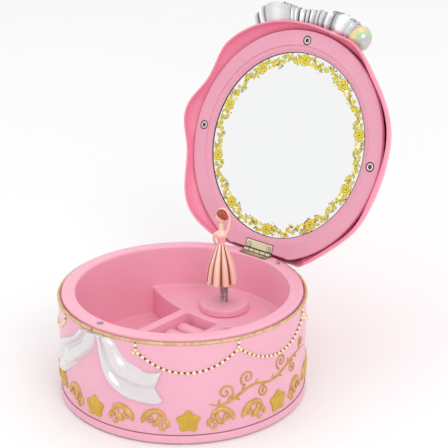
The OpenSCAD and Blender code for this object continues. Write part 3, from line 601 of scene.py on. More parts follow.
def build_beads():
    g, gg = Geo(), Geo()
    for k in range(8):
        a0 = 22.5 + 45 * (k - 1)
        nodes_a = a0
        for z in (50.6, 53.2):
            ball(g, wall_deg(nodes_a, z, 0.35), 0.95, 8, 12)
            ball(gg, wall_deg(nodes_a, z + 1.3, 0.1), 0.5, 6, 8)
        # even arc-length spacing along the curve
        us = np.linspace(0, 1, 200)
        P = np.array([(rad(a0 + 45 * u) * R, swag_z(u)) for u in us])
        d = np.concatenate([[0], np.cumsum(np.linalg.norm(np.diff(P, axis=0), axis=1))])
        m = int(round(d[-1] / 3.0))
        for i in range(m):
            t = (i + 0.5) / m * d[-1]
            u = np.interp(t, d, us)
            a = a0 + 45 * u
            # the ribbon tails cover this stretch
            if -40 < ((a + 180) % 360) - 180 < 19.5 and k in (0, 1):
                continue
            ball(g, wall_deg(a, swag_z(u), 0.35), 0.93, 8, 12)
            u2 = np.interp((i + 1.0) / m * d[-1], d, us)
            # small spacer between the beads, dark as painted shade in the gap
            ball(gg, wall_deg(a0 + 45 * u2, swag_z(u2), 0.1), 0.55, 6, 8)
    ob = make("bead_garland", g.v, g.f, M["bead"], "case")
    ob2 = make("bead_gap_painted_shade_links", gg.v, gg.f, M["link"], "case")
    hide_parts("bead_swags")
    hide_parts("bead_swags")


build_beads()


# ------------------------------------------------------------------ stars
def build_stars():
    g = Geo()
    base = []
    for i in range(10):
        r = 7.0 if i % 2 == 0 else 4.5
        a = rad(90 + 36 * i)
        base.append((r * cos(a), r * sin(a)))
    # rounded outline
    out = []
    n = 10
    for i in range(n):
        p0, p1, p2 = np.array(base[i - 1]), np.array(base[i]), np.array(base[(i + 1) % n])
        w = 0.46 if i % 2 == 0 else 0.30
        q0, q2 = p1 + (p0 - p1) * w, p1 + (p2 - p1) * w
        for t in np.linspace(0, 1, 7):
            out.append((1 - t) ** 2 * q0 + 2 * t * (1 - t) * p1 + t * t * q2)
        nx = np.array(base[(i + 1) % n])
        w2 = 0.30 if i % 2 == 0 else 0.46
        q3 = nx + (p1 - nx) * w2
        out.append((q2 + q3) / 2)
    m = len(out)
    rows = []
    for s, h in ((1.0, -0.2), (1.0, 0.35), (0.985, 0.62), (0.95, 0.84), (0.89, 1.02), (0.8, 1.16), (0.68, 1.27), (0.5, 1.36), (0.3, 1.42), (0.12, 1.45)):
        rows.append((s, h))
    for k in range(8):
        pts = []
        for s, h in rows:
            pts.append([on_wall(rad(45 * k) * R + p[0] * s, 13 + p[1] * s, h + 0.12 * (1 - s) * cos(5 * (math.atan2(p[1], p[0]) - pi / 2))) for p in out])
        g.grid(pts, closed_v=True, cap1=True)
    ob = make("gold_stars", g.v, g.f, M["star"], "case")
    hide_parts("star_ornaments")


build_stars()


# ------------------------------------------------------------------ scrolls beside each star (right-hand set, mirrored for the left)
SCROLLS = [
    # arch from the curl beside the star over to the drop at the end
    ([(10.9, 9.6, .5), (9.9, 10.8, .9), (10.2, 12.6, 1.0), (11.6, 13.2, .9), (12.4, 12.2, .7), (11.8, 11.4, .45)]),
    ([(11.2, 14.2, .5), (12.3, 16.6, .95), (14.8, 18.3, 1.25), (18.0, 18.0, 1.5), (20.8, 15.9, 1.65), (22.5, 13.2, 1.35), (23.1, 11.2, .5)]),
    ([(15.0, 17.4, .4), (14.2, 15.4, .9), (14.6, 13.4, 1.25), (16.0, 11.6, 1.55), (17.3, 10.6, .9), (17.9, 10.2, .3)]),
    ([(11.4, 8.7, .35), (12.6, 8.3, .75), (13.6, 9.0, .9), (13.6, 10.2, .6), (12.9, 10.6, .35)]),
    ([(18.6, 15.4, .35), (18.0, 13.8, .8), (18.9, 12.4, .95), (20.2, 12.6, .6), (20.0, 13.6, .35)]),
]


def build_scrolls():
    g = Geo()
    for k in range(8):
        for sgn in (1, -1):
            for c in SCROLLS:
                P = catmull([(x, z, r) for x, z, r in c], 7)
                path = [on_wall(rad(45 * k) * R + sgn * p[0], p[1], 0.25) for p in P]
                tube(g, path, [max(0.22, p[2] * 0.95) for p in P], sides=10, flat=(wall_n, 0.62))
    ob = make("gold_scrolls", g.v, g.f, M["scroll"], "case")
    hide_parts("scroll_ornaments")


build_scrolls()


# ------------------------------------------------------------------ generic gold vine flourish (right-hand wall)
def build_flourish():
    g = Geo()

    def stroke(c, w=1.0):
        P = catmull(c, 8)
        path = [wall_deg(p[0], p[1], 0.08) for p in P]
        tube(g, path, [max(0.16, p[2] * w) for p in P], sides=8, flat=(wall_n, 0.5))

    def leaf(a, z, ang, L=3.2, W=1.1):
        pts = []
        for t in np.linspace(0, 1, 9):
            pts.append((t * L, W * sin(pi * t) ** 0.8 if 0 < t < 1 else 0.05))
        P = [(a + (x * cos(ang)) / R * 57.2958, z + x * sin(ang), max(0.14, r * 0.62)) for x, r in pts]
        tube(g, [wall_deg(p[0], p[1], 0.1) for p in P], [p[2] for p in P], sides=8, flat=(wall_n, 0.45))
    # main vine: rises to the right in long waves
    stroke([(54, 21.6, .25), (58, 20.6, .5), (63, 21.6, .75), (68, 24.6, .85), (73, 27.2, .7), (78, 27.6, .6), (83, 26.4, .6), (88, 26.8, .75), (94, 29.2, .85), (100, 31.8, .7), (106, 32.8, .5), (113, 32.2, .3), (118, 30.6, .16)])
    # tendrils
    def spiral(a, z, turn, size, start, n=26):
        c = []
        for i in range(n):
            t = i / (n - 1)
            rr = size * (1 - 0.82 * t)
            ph = start + turn * t * 2 * pi * 1.35
            c.append((a + rr * cos(ph) / R * 57.2958, z + rr * sin(ph), 0.62 * (1 - 0.45 * t)))
        P = c
        tube(g, [wall_deg(p[0], p[1], 0.08) for p in P], [p[2] for p in P], sides=8, flat=(wall_n, 0.5))
        ball(g, wall_deg(P[-1][0], P[-1][1], 0.15), 0.75, 6, 10)
    spiral(61.5, 27.0, 1, 4.6, rad(-75))
    spiral(72.0, 32.6, -1, 4.2, rad(-110))
    spiral(81.0, 22.6, 1, 3.6, rad(95))
    spiral(92.0, 34.2, -1, 4.2, rad(-115))
    spiral(101.5, 26.9, 1, 3.6, rad(92))
    spiral(110.5, 36.4, -1, 3.2, rad(-120))
    for a, z, d in ((66, 23.2, -35), (69.5, 25.6, 75), (76, 27.8, 55), (80, 27.2, -60), (86, 26.6, 70), (90.5, 27.6, -40), (97, 30.6, 80), (103.5, 32.6, -50), (108.5, 32.8, 60), (58, 20.8, 70), (63.5, 21.8, 95)):
        leaf(a, z, rad(d))
    ob = make("gold_vine_flourish", g.v, g.f, M["gold"], "case")
    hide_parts("wall_flourish")


build_flourish()


# ------------------------------------------------------------------ ribbon tails
def build_tail(name, node, upper, lower, folds, seed, lift=0.0, notch=0.0):
    U = catmull([tuple(p) for p in upper], 12)
    L = catmull([tuple(p) for p in lower], 12)

    def sample(C, t):
        P = np.array(C)
        d = np.concatenate([[0], np.cumsum(np.linalg.norm(np.diff(P * np.array([1.13, 1]), axis=0), axis=1))])
        x = t * d[-1]
        return np.array([np.interp(x, d, P[:, 0]), np.interp(x, d, P[:, 1])])
    nt, ns = 64, 40
    top, bot = [], []
    for i in range(nt + 1):
        t = i / nt
        r1, r2 = [], []
        for j in range(ns + 1):
            s = j / ns
            # the end of the ribbon is cut in a V
            tt = t * (1 - notch * (1 - abs(2 * s - 1)) * 1.0) if notch else t
            p = sample(U, tt) * (1 - s) + sample(L, tt) * s
            edge = min(1.0, min(s, 1 - s) / 0.06) ** 0.5 if 0 < s < 1 else 0
            h = 1.15 + 0.35 * lift
            for (amp, f, ph, tw, t0, t1) in folds:
                env = max(0.0, min(1.0, (t - t0) / 0.18, (t1 - t) / 0.22))
                env = env * env * (3 - 2 * env)
                h += amp * env * math.cos(2 * pi * (f * s + ph + tw * t))
            h += lift * (t ** 1.5)
            endf = min(1.0, (1 - t) / 0.03)
            h = max(0.3, h) * (0.35 + 0.65 * edge) * (0.55 + 0.45 * endf)
            r1.append(wall_deg(p[0], p[1], min(h, 3.1)))
            r2.append(wall_deg(p[0], p[1], -0.15))
        top.append(r1)
        bot.append(r2)
    g = Geo()
    g.grid(top)
    g.grid(bot)
    # side walls
    for rowa, rowb in ((top[0], bot[0]), (top[-1], bot[-1])):
        g.grid([rowa, rowb])
    for c in (0, -1):
        g.grid([[r[c] for r in top], [r[c] for r in bot]])
    ob = make(name, g.v, g.f, M["pearl"], "case", sharp=70)
    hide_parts(node)


build_tail("ribbon_tail_r", "ribbon_tail_right",
    [(9.5, 54.3), (12.0, 52.0), (14.3, 48.2), (17.4, 44.2), (22.5, 41.5), (27, 39.3), (33.6, 40.2)],
    [(3.3, 54.3), (3.9, 50.0), (4.6, 44.1), (6.2, 37.2), (8.4, 31.9), (12.5, 27.2), (18.4, 24.2), (25.0, 22.7), (31.0, 22.4), (34.2, 24.6)],
    [(1.15, 1.6, 0.42, 0.12, -0.2, 0.85), (0.6, 3.1, 0.5, -0.25, -0.1, 0.7), (0.7, 1.1, 0.35, 0.5, 0.45, 1.3), (0.35, 2.3, 0.0, 0.3, 0.6, 1.3)], 3, lift=0.6, notch=0.09)
build_tail("ribbon_tail_l", "ribbon_tail_left",
    [(-7.4, 53.6), (-10.0, 50.4), (-13.5, 46.9), (-19.5, 43.2), (-27.0, 38.4), (-33.0, 33.6), (-40.6, 30.2)],
    [(2.7, 54.0), (1.6, 49.0), (-0.6, 44.4), (-4.2, 40.4), (-9.6, 34.6), (-15.6, 28.8), (-20.6, 24.0), (-26.2, 20.2), (-33.0, 19.6)],
    [(1.1, 1.5, 0.0, -0.2, -0.2, 0.85), (0.6, 2.9, 0.4, 0.3, -0.1, 0.7), (0.7, 1.0, 0.2, 0.6, 0.4, 1.3), (0.35, 2.2, 0.1, 0.2, 0.6, 1.3)], 4, lift=0.9, notch=0.10)


# ------------------------------------------------------------------ bow on the lid
def lid_back(co):
    """row-frame metres on the open lid back to closed-lid millimetres"""
    y, z = co[1] / MM - HY, co[2] / MM - HZ
    return (co[0] / MM, HY + y * cos(OPEN) - z * sin(OPEN), HZ + y * sin(OPEN) + z * cos(OPEN))


def tab(T, a):
    xs = [q[0] for q in T]
    return float(np.interp(a, xs, [q[1] for q in T]))


def smooth_tab(T, n=6):
    return catmull([tuple(q) for q in T], n)


def bow_part(name, a0, a1, crest, o0, o1, folds, mat, node, na=150, inner=0.0, end0=0.02, end1=0.02):
    """one length of the bow along the rim: crest = outer radius by angle, folds = ridges (angle, width, height) down its face"""
    C = smooth_tab(crest)
    g = Geo()
    rows = []
    nv = 44
    for i in range(na + 1):
        u = i / na
        a = a0 + (a1 - a0) * u
        ro = tab(C, a)
        ri = 66.9 + 1.5 * lobe(a) + inner
        rc, hr = (ro + ri) / 2, max(0.25, (ro - ri) / 2)
        # both ends close in a quarter round
        q0, q1 = min(1.0, u / end0), min(1.0, (1 - u) / end1)
        e = math.sqrt(max(0.0, 1 - (1 - q0) ** 2)) * math.sqrt(max(0.0, 1 - (1 - q1) ** 2))
        e = max(0.03, e)
        # the ribbon is pinched at the middle and stands tallest towards the loop ends
        flare = 0.60 + 0.52 * (1 - math.exp(-((a + 5.0) / 11.0) ** 2))
        ho = (o1 - o0) / 2 * flare
        oc = o0 + (o1 - o0) / 2 * (0.45 + 0.55 * flare)
        d = sum(h * math.exp(-((a - c) / w) ** 2) for c, w, h in folds)
        row = []
        for j in range(nv):
            v = 2 * pi * j / nv
            cv, sv = cos(v), sin(v)
            px = math.copysign(abs(cv) ** 0.62, cv)
            pz = math.copysign(abs(sv) ** 0.62, sv)
            side = max(0.0, -pz) ** 0.5
            push = d * (0.35 + 0.65 * side) * (1 if pz < 0 else 0.35)
            r = rc + hr * (0.25 + 0.75 * e) * px + (0.25 * d if px > 0.5 else 0)
            o = oc + ho * e * pz + (-push if pz < 0 else push * 0.5) * e
            # the crest falls away towards the outside of the lid
            r -= max(0.0, o - 9.0) * 0.35 * max(0.0, px)
            row.append((r * sin(rad(a)), -r * cos(rad(a)), LZ + o))
        rows.append(row)
    g.grid(rows, closed_v=True, cap0=True, cap1=True)
    ob = make(name, g.v, g.f, mat, "lid", lid=True)
    # painted shade in the creases and painted highlight on the ridges, by angle along the rim, fainter higher up the
    # bow
    vals = []
    for v in ob.data.vertices:
        q = lid_back(v.co)
        a = math.degrees(math.atan2(q[0], -q[1]))
        far = 1.0 - 0.7 * max(0.0, min(1.0, (q[2] - LZ - 5.0) / 5.0))
        vals.append(0.5 + 0.34 * far * sum(h * math.exp(-((a - c) / (0.8 * w)) ** 2) for c, w, h in folds))
    ob.data.attributes.new("painted_light", "FLOAT", "POINT").data.foreach_set("value", vals)
    if node:
        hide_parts(node)
    return C


def build_bow():
    # left loop: a flattened puff with a rolled end
    L = [(-33.6, 69.5), (-32.6, 75.5), (-31.4, 79.6), (-29.5, 82.0), (-26.5, 83.4), (-23.0, 83.4), (-18.5, 81.6), (-14.5, 79.2), (-12.0, 77.6), (-10.5, 76.8)]
    bow_part("bow_loop_l", -33.4, -10.6, L, 1.2, 13.0, [(-31.9, 0.9, 0.9), (-29.9, 0.55, -1.1), (-28.2, 0.9, 0.9), (-26.6, 0.6, -0.7), (-20.0, 4.0, 0.5),
             (-13.6, 0.5, -0.6), (-12.6, 0.35, 0.7)], M["pearl2"], "bow_loops", end0=0.06, end1=0.03)
    # gathered middle
    K = [(-11.6, 76.2), (-9.2, 76.6), (-6.4, 75.6), (-3.5, 75.9), (-0.6, 76.5), (1.8, 77.0)]
    bow_part("bow_knot_wrap", -12.2, 1.8, K, 1.8, 12.0, [(-11.6, 0.3, -1.5), (-10.5, 0.5, 1.2), (-9.3, 0.3, -1.5), (-7.6, 0.7, 1.4), (-5.8, 0.35, -1.6),
             (-4.7, 0.35, 1.0), (-3.6, 0.3, -1.5), (-2.3, 0.6, 0.9), (-0.6, 0.4, -0.6), (0.8, 0.6, 0.5)], M["pearl2"], "bow_knot", na=220, end0=0.05, end1=0.05)
    # right loop: narrow folds, then a broad one with a crisp edge
    Rr = [(0.4, 76.8), (3.6, 76.4), (8.0, 77.8), (11.0, 78.2), (14.2, 78.2), (17.5, 77.9), (20.0, 77.2), (22.0, 75.6)]
    bow_part("bow_loop_r", 0.6, 21.4, Rr, 1.6, 13.0, [(1.6, 0.45, -0.7), (3.0, 0.8, 0.3), (4.6, 0.45, -0.7), (5.6, 0.4, -0.3), (7.2, 0.75, 1.7), (9.4, 0.8, -0.8),
             (11.0, 0.4, -0.4), (14.6, 2.4, 1.9), (19.2, 0.5, 0.6)], M["pearl2"], "bow_loops", na=220, end0=0.05, end1=0.03)
    # rounded end of the right loop, in iridescent pearl, with its iridescent sheen painted on as a pink-yellow-green
    # colour gradient
    g = Geo()
    nu, nv = 30, 48
    rows = []
    ca = rad(23.4)
    er, et = Vector((sin(ca), -cos(ca), 0)), Vector((cos(ca), sin(ca), 0))
    c = er * 71.3 + et * 1.4
    for i in range(nu + 1):
        b = pi * i / nu
        row = []
        for j in range(nv):
            v = 2 * pi * j / nv
            f = 1 + 0.02 * cos(3 * v + 0.6)
            q = c + er * (7.3 * cos(b) * f) + et * (6.3 * sin(b) * cos(v) * f)
            row.append((q.x, q.y, LZ + 6.2 + 6.5 * sin(b) * sin(v) * f))
        rows.append(row)
    g.grid(rows, closed_v=True)
    ob = make("bow_loop_end", g.v, g.f, M["irid"], "lid", lid=True)
    # painted iridescent sheen: a gradient across the loop end, with a slight ripple, drives the colour ramp
    vals = []
    for v in ob.data.vertices:
        q = Vector(lid_back(v.co)) - c
        t = 0.5 + (q.dot(et) * 0.075 - q.dot(er) * 0.012)
        vals.append(max(0.0, min(1.0, t + 0.06 * sin(0.9 * q.dot(er)))))
    ob.data.attributes.new("painted_light", "FLOAT", "POINT").data.foreach_set("value", vals)
    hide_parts("bow_loops")
    # glitter along the crest
    g3 = Geo()
    rr = random.Random(11)
    for T, b0, b1, cnt in ((L, -18.0, -11.5, 70), (K, -11.0, -2.5, 120), (Rr, 7.0, 20.8, 190)):
        C = smooth_tab(T)
        for _ in range(cnt):
            a = rr.uniform(b0, b1)
            r = tab(C, a) + rr.uniform(-0.5, 0.35)
            c = (r * sin(rad(a)), -r * cos(rad(a)), LZ + rr.uniform(2.6, 9.0))
            sz = rr.uniform(0.22, 0.42)
            ax = Vector((rr.uniform(-1, 1), rr.uniform(-1, 1), rr.uniform(-1, 1))).normalized()
            M3 = Matrix.Rotation(rr.uniform(0, 6), 3, ax)
            vs = [tuple(Vector(c) + M3 @ Vector(d) * sz) for d in ((1, 0, 0), (-1, 0, 0), (0, 1, 0), (0, -1, 0), (0, 0, .7), (0, 0, -.7))]
            g3.add(vs, [(0, 2, 4), (2, 1, 4), (1, 3, 4), (3, 0, 4), (2, 0, 5), (1, 2, 5), (3, 1, 5), (0, 3, 5)])
    make("bow_glitter", g3.v, g3.f, M["glitter"], "lid", lid=True, smooth=False)


build_bow()


# ------------------------------------------------------------------ mirror garland (gold print on the glass)
def build_garland():
    gy, gd, gl = Geo(), Geo(), Geo()
    zf = 2.52
    rr = random.Random(5)

    def flat(geo, pts, z=zf):
        n = len(pts)
        geo.add([(x, y, LZ + z) for x, y in pts] + [(x, y, LZ + z + 0.05) for x, y in pts],
                [tuple(range(n))] + [tuple(range(2 * n - 1, n - 1, -1))] + [(i, (i + 1) % n, n + (i + 1) % n, n + i) for i in range(n)])

    def at(a, r, u=0, w=0):
        """point offset by (u along the ring, w outwards) mm"""
        a2 = rad(a)
        return ((r + w) * sin(a2) + u * cos(a2), -(r + w) * cos(a2) + u * sin(a2))

    def leaf(geo, a, r, u, w, ang, L, W, z=zf):
        pts = []
        for t in np.linspace(0, 2 * pi, 12, endpoint=False):
            lx, ly = L * 0.5 * (1 + cos(t)), W * 0.5 * sin(t) * (1 - 0.35 * cos(t))
            uu, ww = u + lx * cos(ang) - ly * sin(ang), w + lx * sin(ang) + ly * cos(ang)
            pts.append(at(a, r, uu, ww))
        flat(geo, pts, z)

    def dot(geo, a, r, u, w, s, z=zf, n=9):
        flat(geo, [at(a, r, u + s * cos(2 * pi * k / n), w + s * sin(2 * pi * k / n)) for k in range(n)], z)

    def rose(a, r, s=1.0):
        # outer petals, inner petals, heart and dark outline strokes
        for k in range(6):
            b = 2 * pi * k / 6 + 0.3
            dot(gd, a, r, 1.75 * s * cos(b), 1.75 * s * sin(b), 1.18 * s, zf, 12)
            dot(gy, a, r, 1.75 * s * cos(b), 1.75 * s * sin(b), 0.95 * s, zf - 0.02, 12)
        dot(gd, a, r, 0, 0, 1.6 * s, zf - 0.03, 14)
        dot(gy, a, r, 0, 0, 1.35 * s, zf - 0.04, 14)
        for k in range(3):
            b = 2 * pi * k / 3
            leaf(gd, a, r, 0.55 * s * cos(b), 0.55 * s * sin(b), b + 1.9, 1.2 * s, 0.3 * s, zf - 0.06)
        dot(gd, a, r, 0, 0, 0.38 * s, zf - 0.07, 8)
    ring_r = 47.9
    for k in range(10):
        a = 36 * k
        rose(a, ring_r + 0.1, 1.22)
        for sg in (1, -1):
            leaf(gl, a, ring_r, sg * 3.2, 1.1, (0.35 if sg > 0 else pi - 0.35), 3.6, 1.7)
            leaf(gy, a, ring_r, sg * 3.2, -1.4, (-0.5 if sg > 0 else pi + 0.5), 3.2, 1.5)
        # between the roses: small blossoms, leaves and buds along a wavy stem
        for da, w, s in ((9.5, -1.5, 0.62), (14.0, 1.1, 0.66), (18.5, -0.8, 0.72), (23.0, 1.2, 0.66), (27.5, -1.4, 0.62)):
            for q in range(5):
                b = 2 * pi * q / 5 + a
                dot(gd, a + da, ring_r, 1.05 * s * cos(b), w + 1.05 * s * sin(b), 0.86 * s, zf, 9)
                dot(gy, a + da, ring_r, 1.05 * s * cos(b), w + 1.05 * s * sin(b), 0.68 * s, zf - 0.02, 9)
            dot(gd, a + da, ring_r, 0, w, 0.34, zf - 0.04, 8)
        for da in np.arange(5.0, 31.6, 0.95):
            w = 1.6 * sin(rad(da * 20)) + rr.uniform(-.5, .5)
            ang = rr.uniform(-1.1, 1.1) + (pi if rr.random() < 0.5 else 0)
            L_, W_ = rr.uniform(1.9, 2.8), rr.uniform(0.85, 1.25)
            leaf(gd, a + da, ring_r, 0.06, w + 0.06, ang, L_ * 1.12, W_ * 1.3, zf + 0.0)
            leaf(gl if rr.random() < 0.6 else gy, a + da, ring_r, 0, w, ang, L_, W_, zf - 0.015)
            if rr.random() < 0.85:
                dot(gy if rr.random() < 0.6 else gd, a + da, ring_r, rr.uniform(-.8, .8), w + rr.choice([-1, 1]) * rr.uniform(1.3, 2.3), rr.uniform(0.3, 0.5))
    my = material("print_yellow", srgb(240, 222, 74), srgb(228, 206, 58), scale=900, rough=0.35, rough2=0.5, bump=0.1, bscale=2500, metallic=0.15)
    md = material("print_olive", srgb(150, 138, 52), srgb(120, 108, 44), scale=900, rough=0.4, rough2=0.55, bump=0.1, bscale=2500, metallic=0.15)
    ml = material("print_leaf", srgb(212, 208, 92), srgb(184, 178, 74), scale=900, rough=0.4, rough2=0.55, bump=0.1, bscale=2500, metallic=0.15)
    for nm, geo, mm_ in (("print_petals", gy, my), ("print_shades", gd, md), ("print_leaves", gl, ml)):
        make("mirror_" + nm, geo.v, geo.f, mm_, "lid", lid=True, smooth=False)


build_garland()


# ------------------------------------------------------------------ painted shade lines in gaps and recesses, ejector marks
def build_lid_details():
    g = Geo()
    # dark line round the mirror's edge: painted shade in the gap between glass and plate
    n = 200
    tube(g, [(51.75 * sin(2 * pi * i / n), -51.75 * cos(2 * pi * i / n), LZ + 2.42) for i in range(n)], 0.28, sides=6, closed=True)
    make("mirror_edge_painted_shade", g.v, g.f, M["dark"], "lid", lid=True)
    g = Geo()
    for a in (45, -45, -134, 134):
        c = (58.4 * sin(rad(a)), -58.4 * cos(rad(a)))
        tube(g, [(c[0] + 1.1 * cos(2 * pi * i / 20), c[1] + 1.1 * sin(2 * pi * i / 20), LZ + 0.03) for i in range(20)], 0.12, sides=6, closed=True)
    make("ejector_marks", g.v, g.f, M["plate"], "lid", lid=True)
    g = Geo()
    for a in (0, 90, -90):
        c = (58.6 * sin(rad(a)), -58.6 * cos(rad(a)))
        tube(g, [(c[0] + 2.38 * cos(2 * pi * i / 32), c[1] + 2.38 * sin(2 * pi * i / 32), LZ + 0.12) for i in range(32)], 0.34, sides=6, closed=True)
    make("screw_recess_shadow", g.v, g.f, M["dark"], "lid", lid=True)
    # painted highlight: a bright ring on each screw head
    g = Geo()
    for a in (0, 90, -90):
        c = (58.6 * sin(rad(a)), -58.6 * cos(rad(a)))
        tube(g, [(c[0] + 1.6 * cos(2 * pi * i / 32), c[1] + 1.6 * sin(2 * pi * i / 32), LZ + 0.06) for i in range(32)], 0.46, sides=8, closed=True, flat=(lambda p: (0, 0, 1), 0.45))
    make("screw_painted_highlight_ring", g.v, g.f, M["bright"], "lid", lid=True)
    # painted shade in the middle of each screw head's recess
    g = Geo()
    for a in (0, 90, -90):
        c = (58.6 * sin(rad(a)), -58.6 * cos(rad(a)))
        ball(g, (c[0], c[1], LZ + 0.12), 1.12, 8, 20, (1, 1, 0.16))
    make("screw_recess_painted_shade", g.v, g.f, M["dark"], "lid", lid=True)
    # hinge: painted shade lines round the rolled edges of the leaves, round the screw rims, in the screw slots, along
    # the barrel and in the gaps between the knuckles
    g, gc = Geo(), Geo()
    up = (lambda p: (0, 0, 1), 0.4)
    for z, y1, lid_ in ((57.44, 55.3, True), (57.11, 56.6, False)):
        gg = g if lid_ else gc
        P = [(-9.4, y1, z), (9.4, y1, z), (9.4, 59.9, z), (-9.4, 59.9, z)]
        Q = []
        for q0, q1 in zip(P, P[1:] + P[:1]):
            Q += [tuple(np.array(q0) + (np.array(q1) - np.array(q0)) * t) for t in np.linspace(0.03, 0.97, 8)]
        tube(gg, Q, 0.22, sides=6, closed=True, flat=up)
        for sx in (-7, 7):
            tube(gg, [(sx + 1.35 * cos(2 * pi * i / 24), 58.3 + 1.35 * sin(2 * pi * i / 24), z) for i in range(24)], 0.2, sides=6, closed=True, flat=up)
            tube(gg, [(sx - 0.75, 58.3 - 0.75, z - (0.09 if lid_ else -0.1)), (sx + 0.75, 58.3 + 0.75, z - (0.09 if lid_ else -0.1))], 0.2, sides=6, flat=(lambda p: (0, 0, 1), 0.25))
    tube(g, [(-9.3, 60.15, 57.3), (9.3, 60.15, 57.3)], 0.2, sides=6)
    tube(g, [(-9.3, 61.4, 58.5), (9.3, 61.4, 58.5)], 0.12, sides=6)
    for i in range(6):
        x = -9.5 + 3.8 * i
        x = max(-9.4, min(9.4, x))
        tube(gc, [(x, HY + 1.13 * cos(2 * pi * k / 24), HZ + 1.13 * sin(2 * pi * k / 24)) for k in range(24)], 0.2, sides=6, closed=True)
    make("hinge_painted_shade_upper", g.v, g.f, M["dark"], "lid", lid=True)
    make("hinge_painted_shade_lower", gc.v, gc.f, M["dark"], "case")
    # fine dark line between the drum and its plinth: painted shade in the gap
    g = Geo()
    tube(g, [(65.08 * sin(2 * pi * i / 240), -65.08 * cos(2 * pi * i / 240), 5.3) for i in range(240)], 0.22, sides=6, closed=True)
    make("plinth_gap_painted_shade", g.v, g.f, M["joint"], "case")


build_lid_details()


# ------------------------------------------------------------------ dancer
def lathe(geo, prof, cx=0.0, cy=SPY, sx=1.0, sy=1.0, n=40, mod=None, tilt=None):
    rows = []
    for r, z in prof:
        row = []
        for j in range(n):
            a = 2 * pi * j / n
            f = mod(a, z) if mod else 1.0
            row.append((cx + r * f * sx * sin(a), cy - r * f * sy * cos(a), z))
        rows.append(row)
    geo.grid(rows, closed_v=True, cap0=True, cap1=True)


FACE = rad(-64)      # the way her head faces, measured from the front, towards -X
BODY = rad(-114)     # her body is turned further away
DX, DY = -1.1, -1.0


def face_pt(u, v, w, ang=FACE):
    """u to her left, v forward, w up; relative to her axis"""
    fx, fy = sin(ang), -cos(ang)
    lx, ly = -fy, fx
    return (DX + u * lx + v * fx, SPY + DY + u * ly + v * fy, w)


def doll(l, f, z):
    """l across the view, f away from it"""
    return (DX + l * 0.752 - f * 0.659, SPY + DY + l * 0.659 + f * 0.752, z)


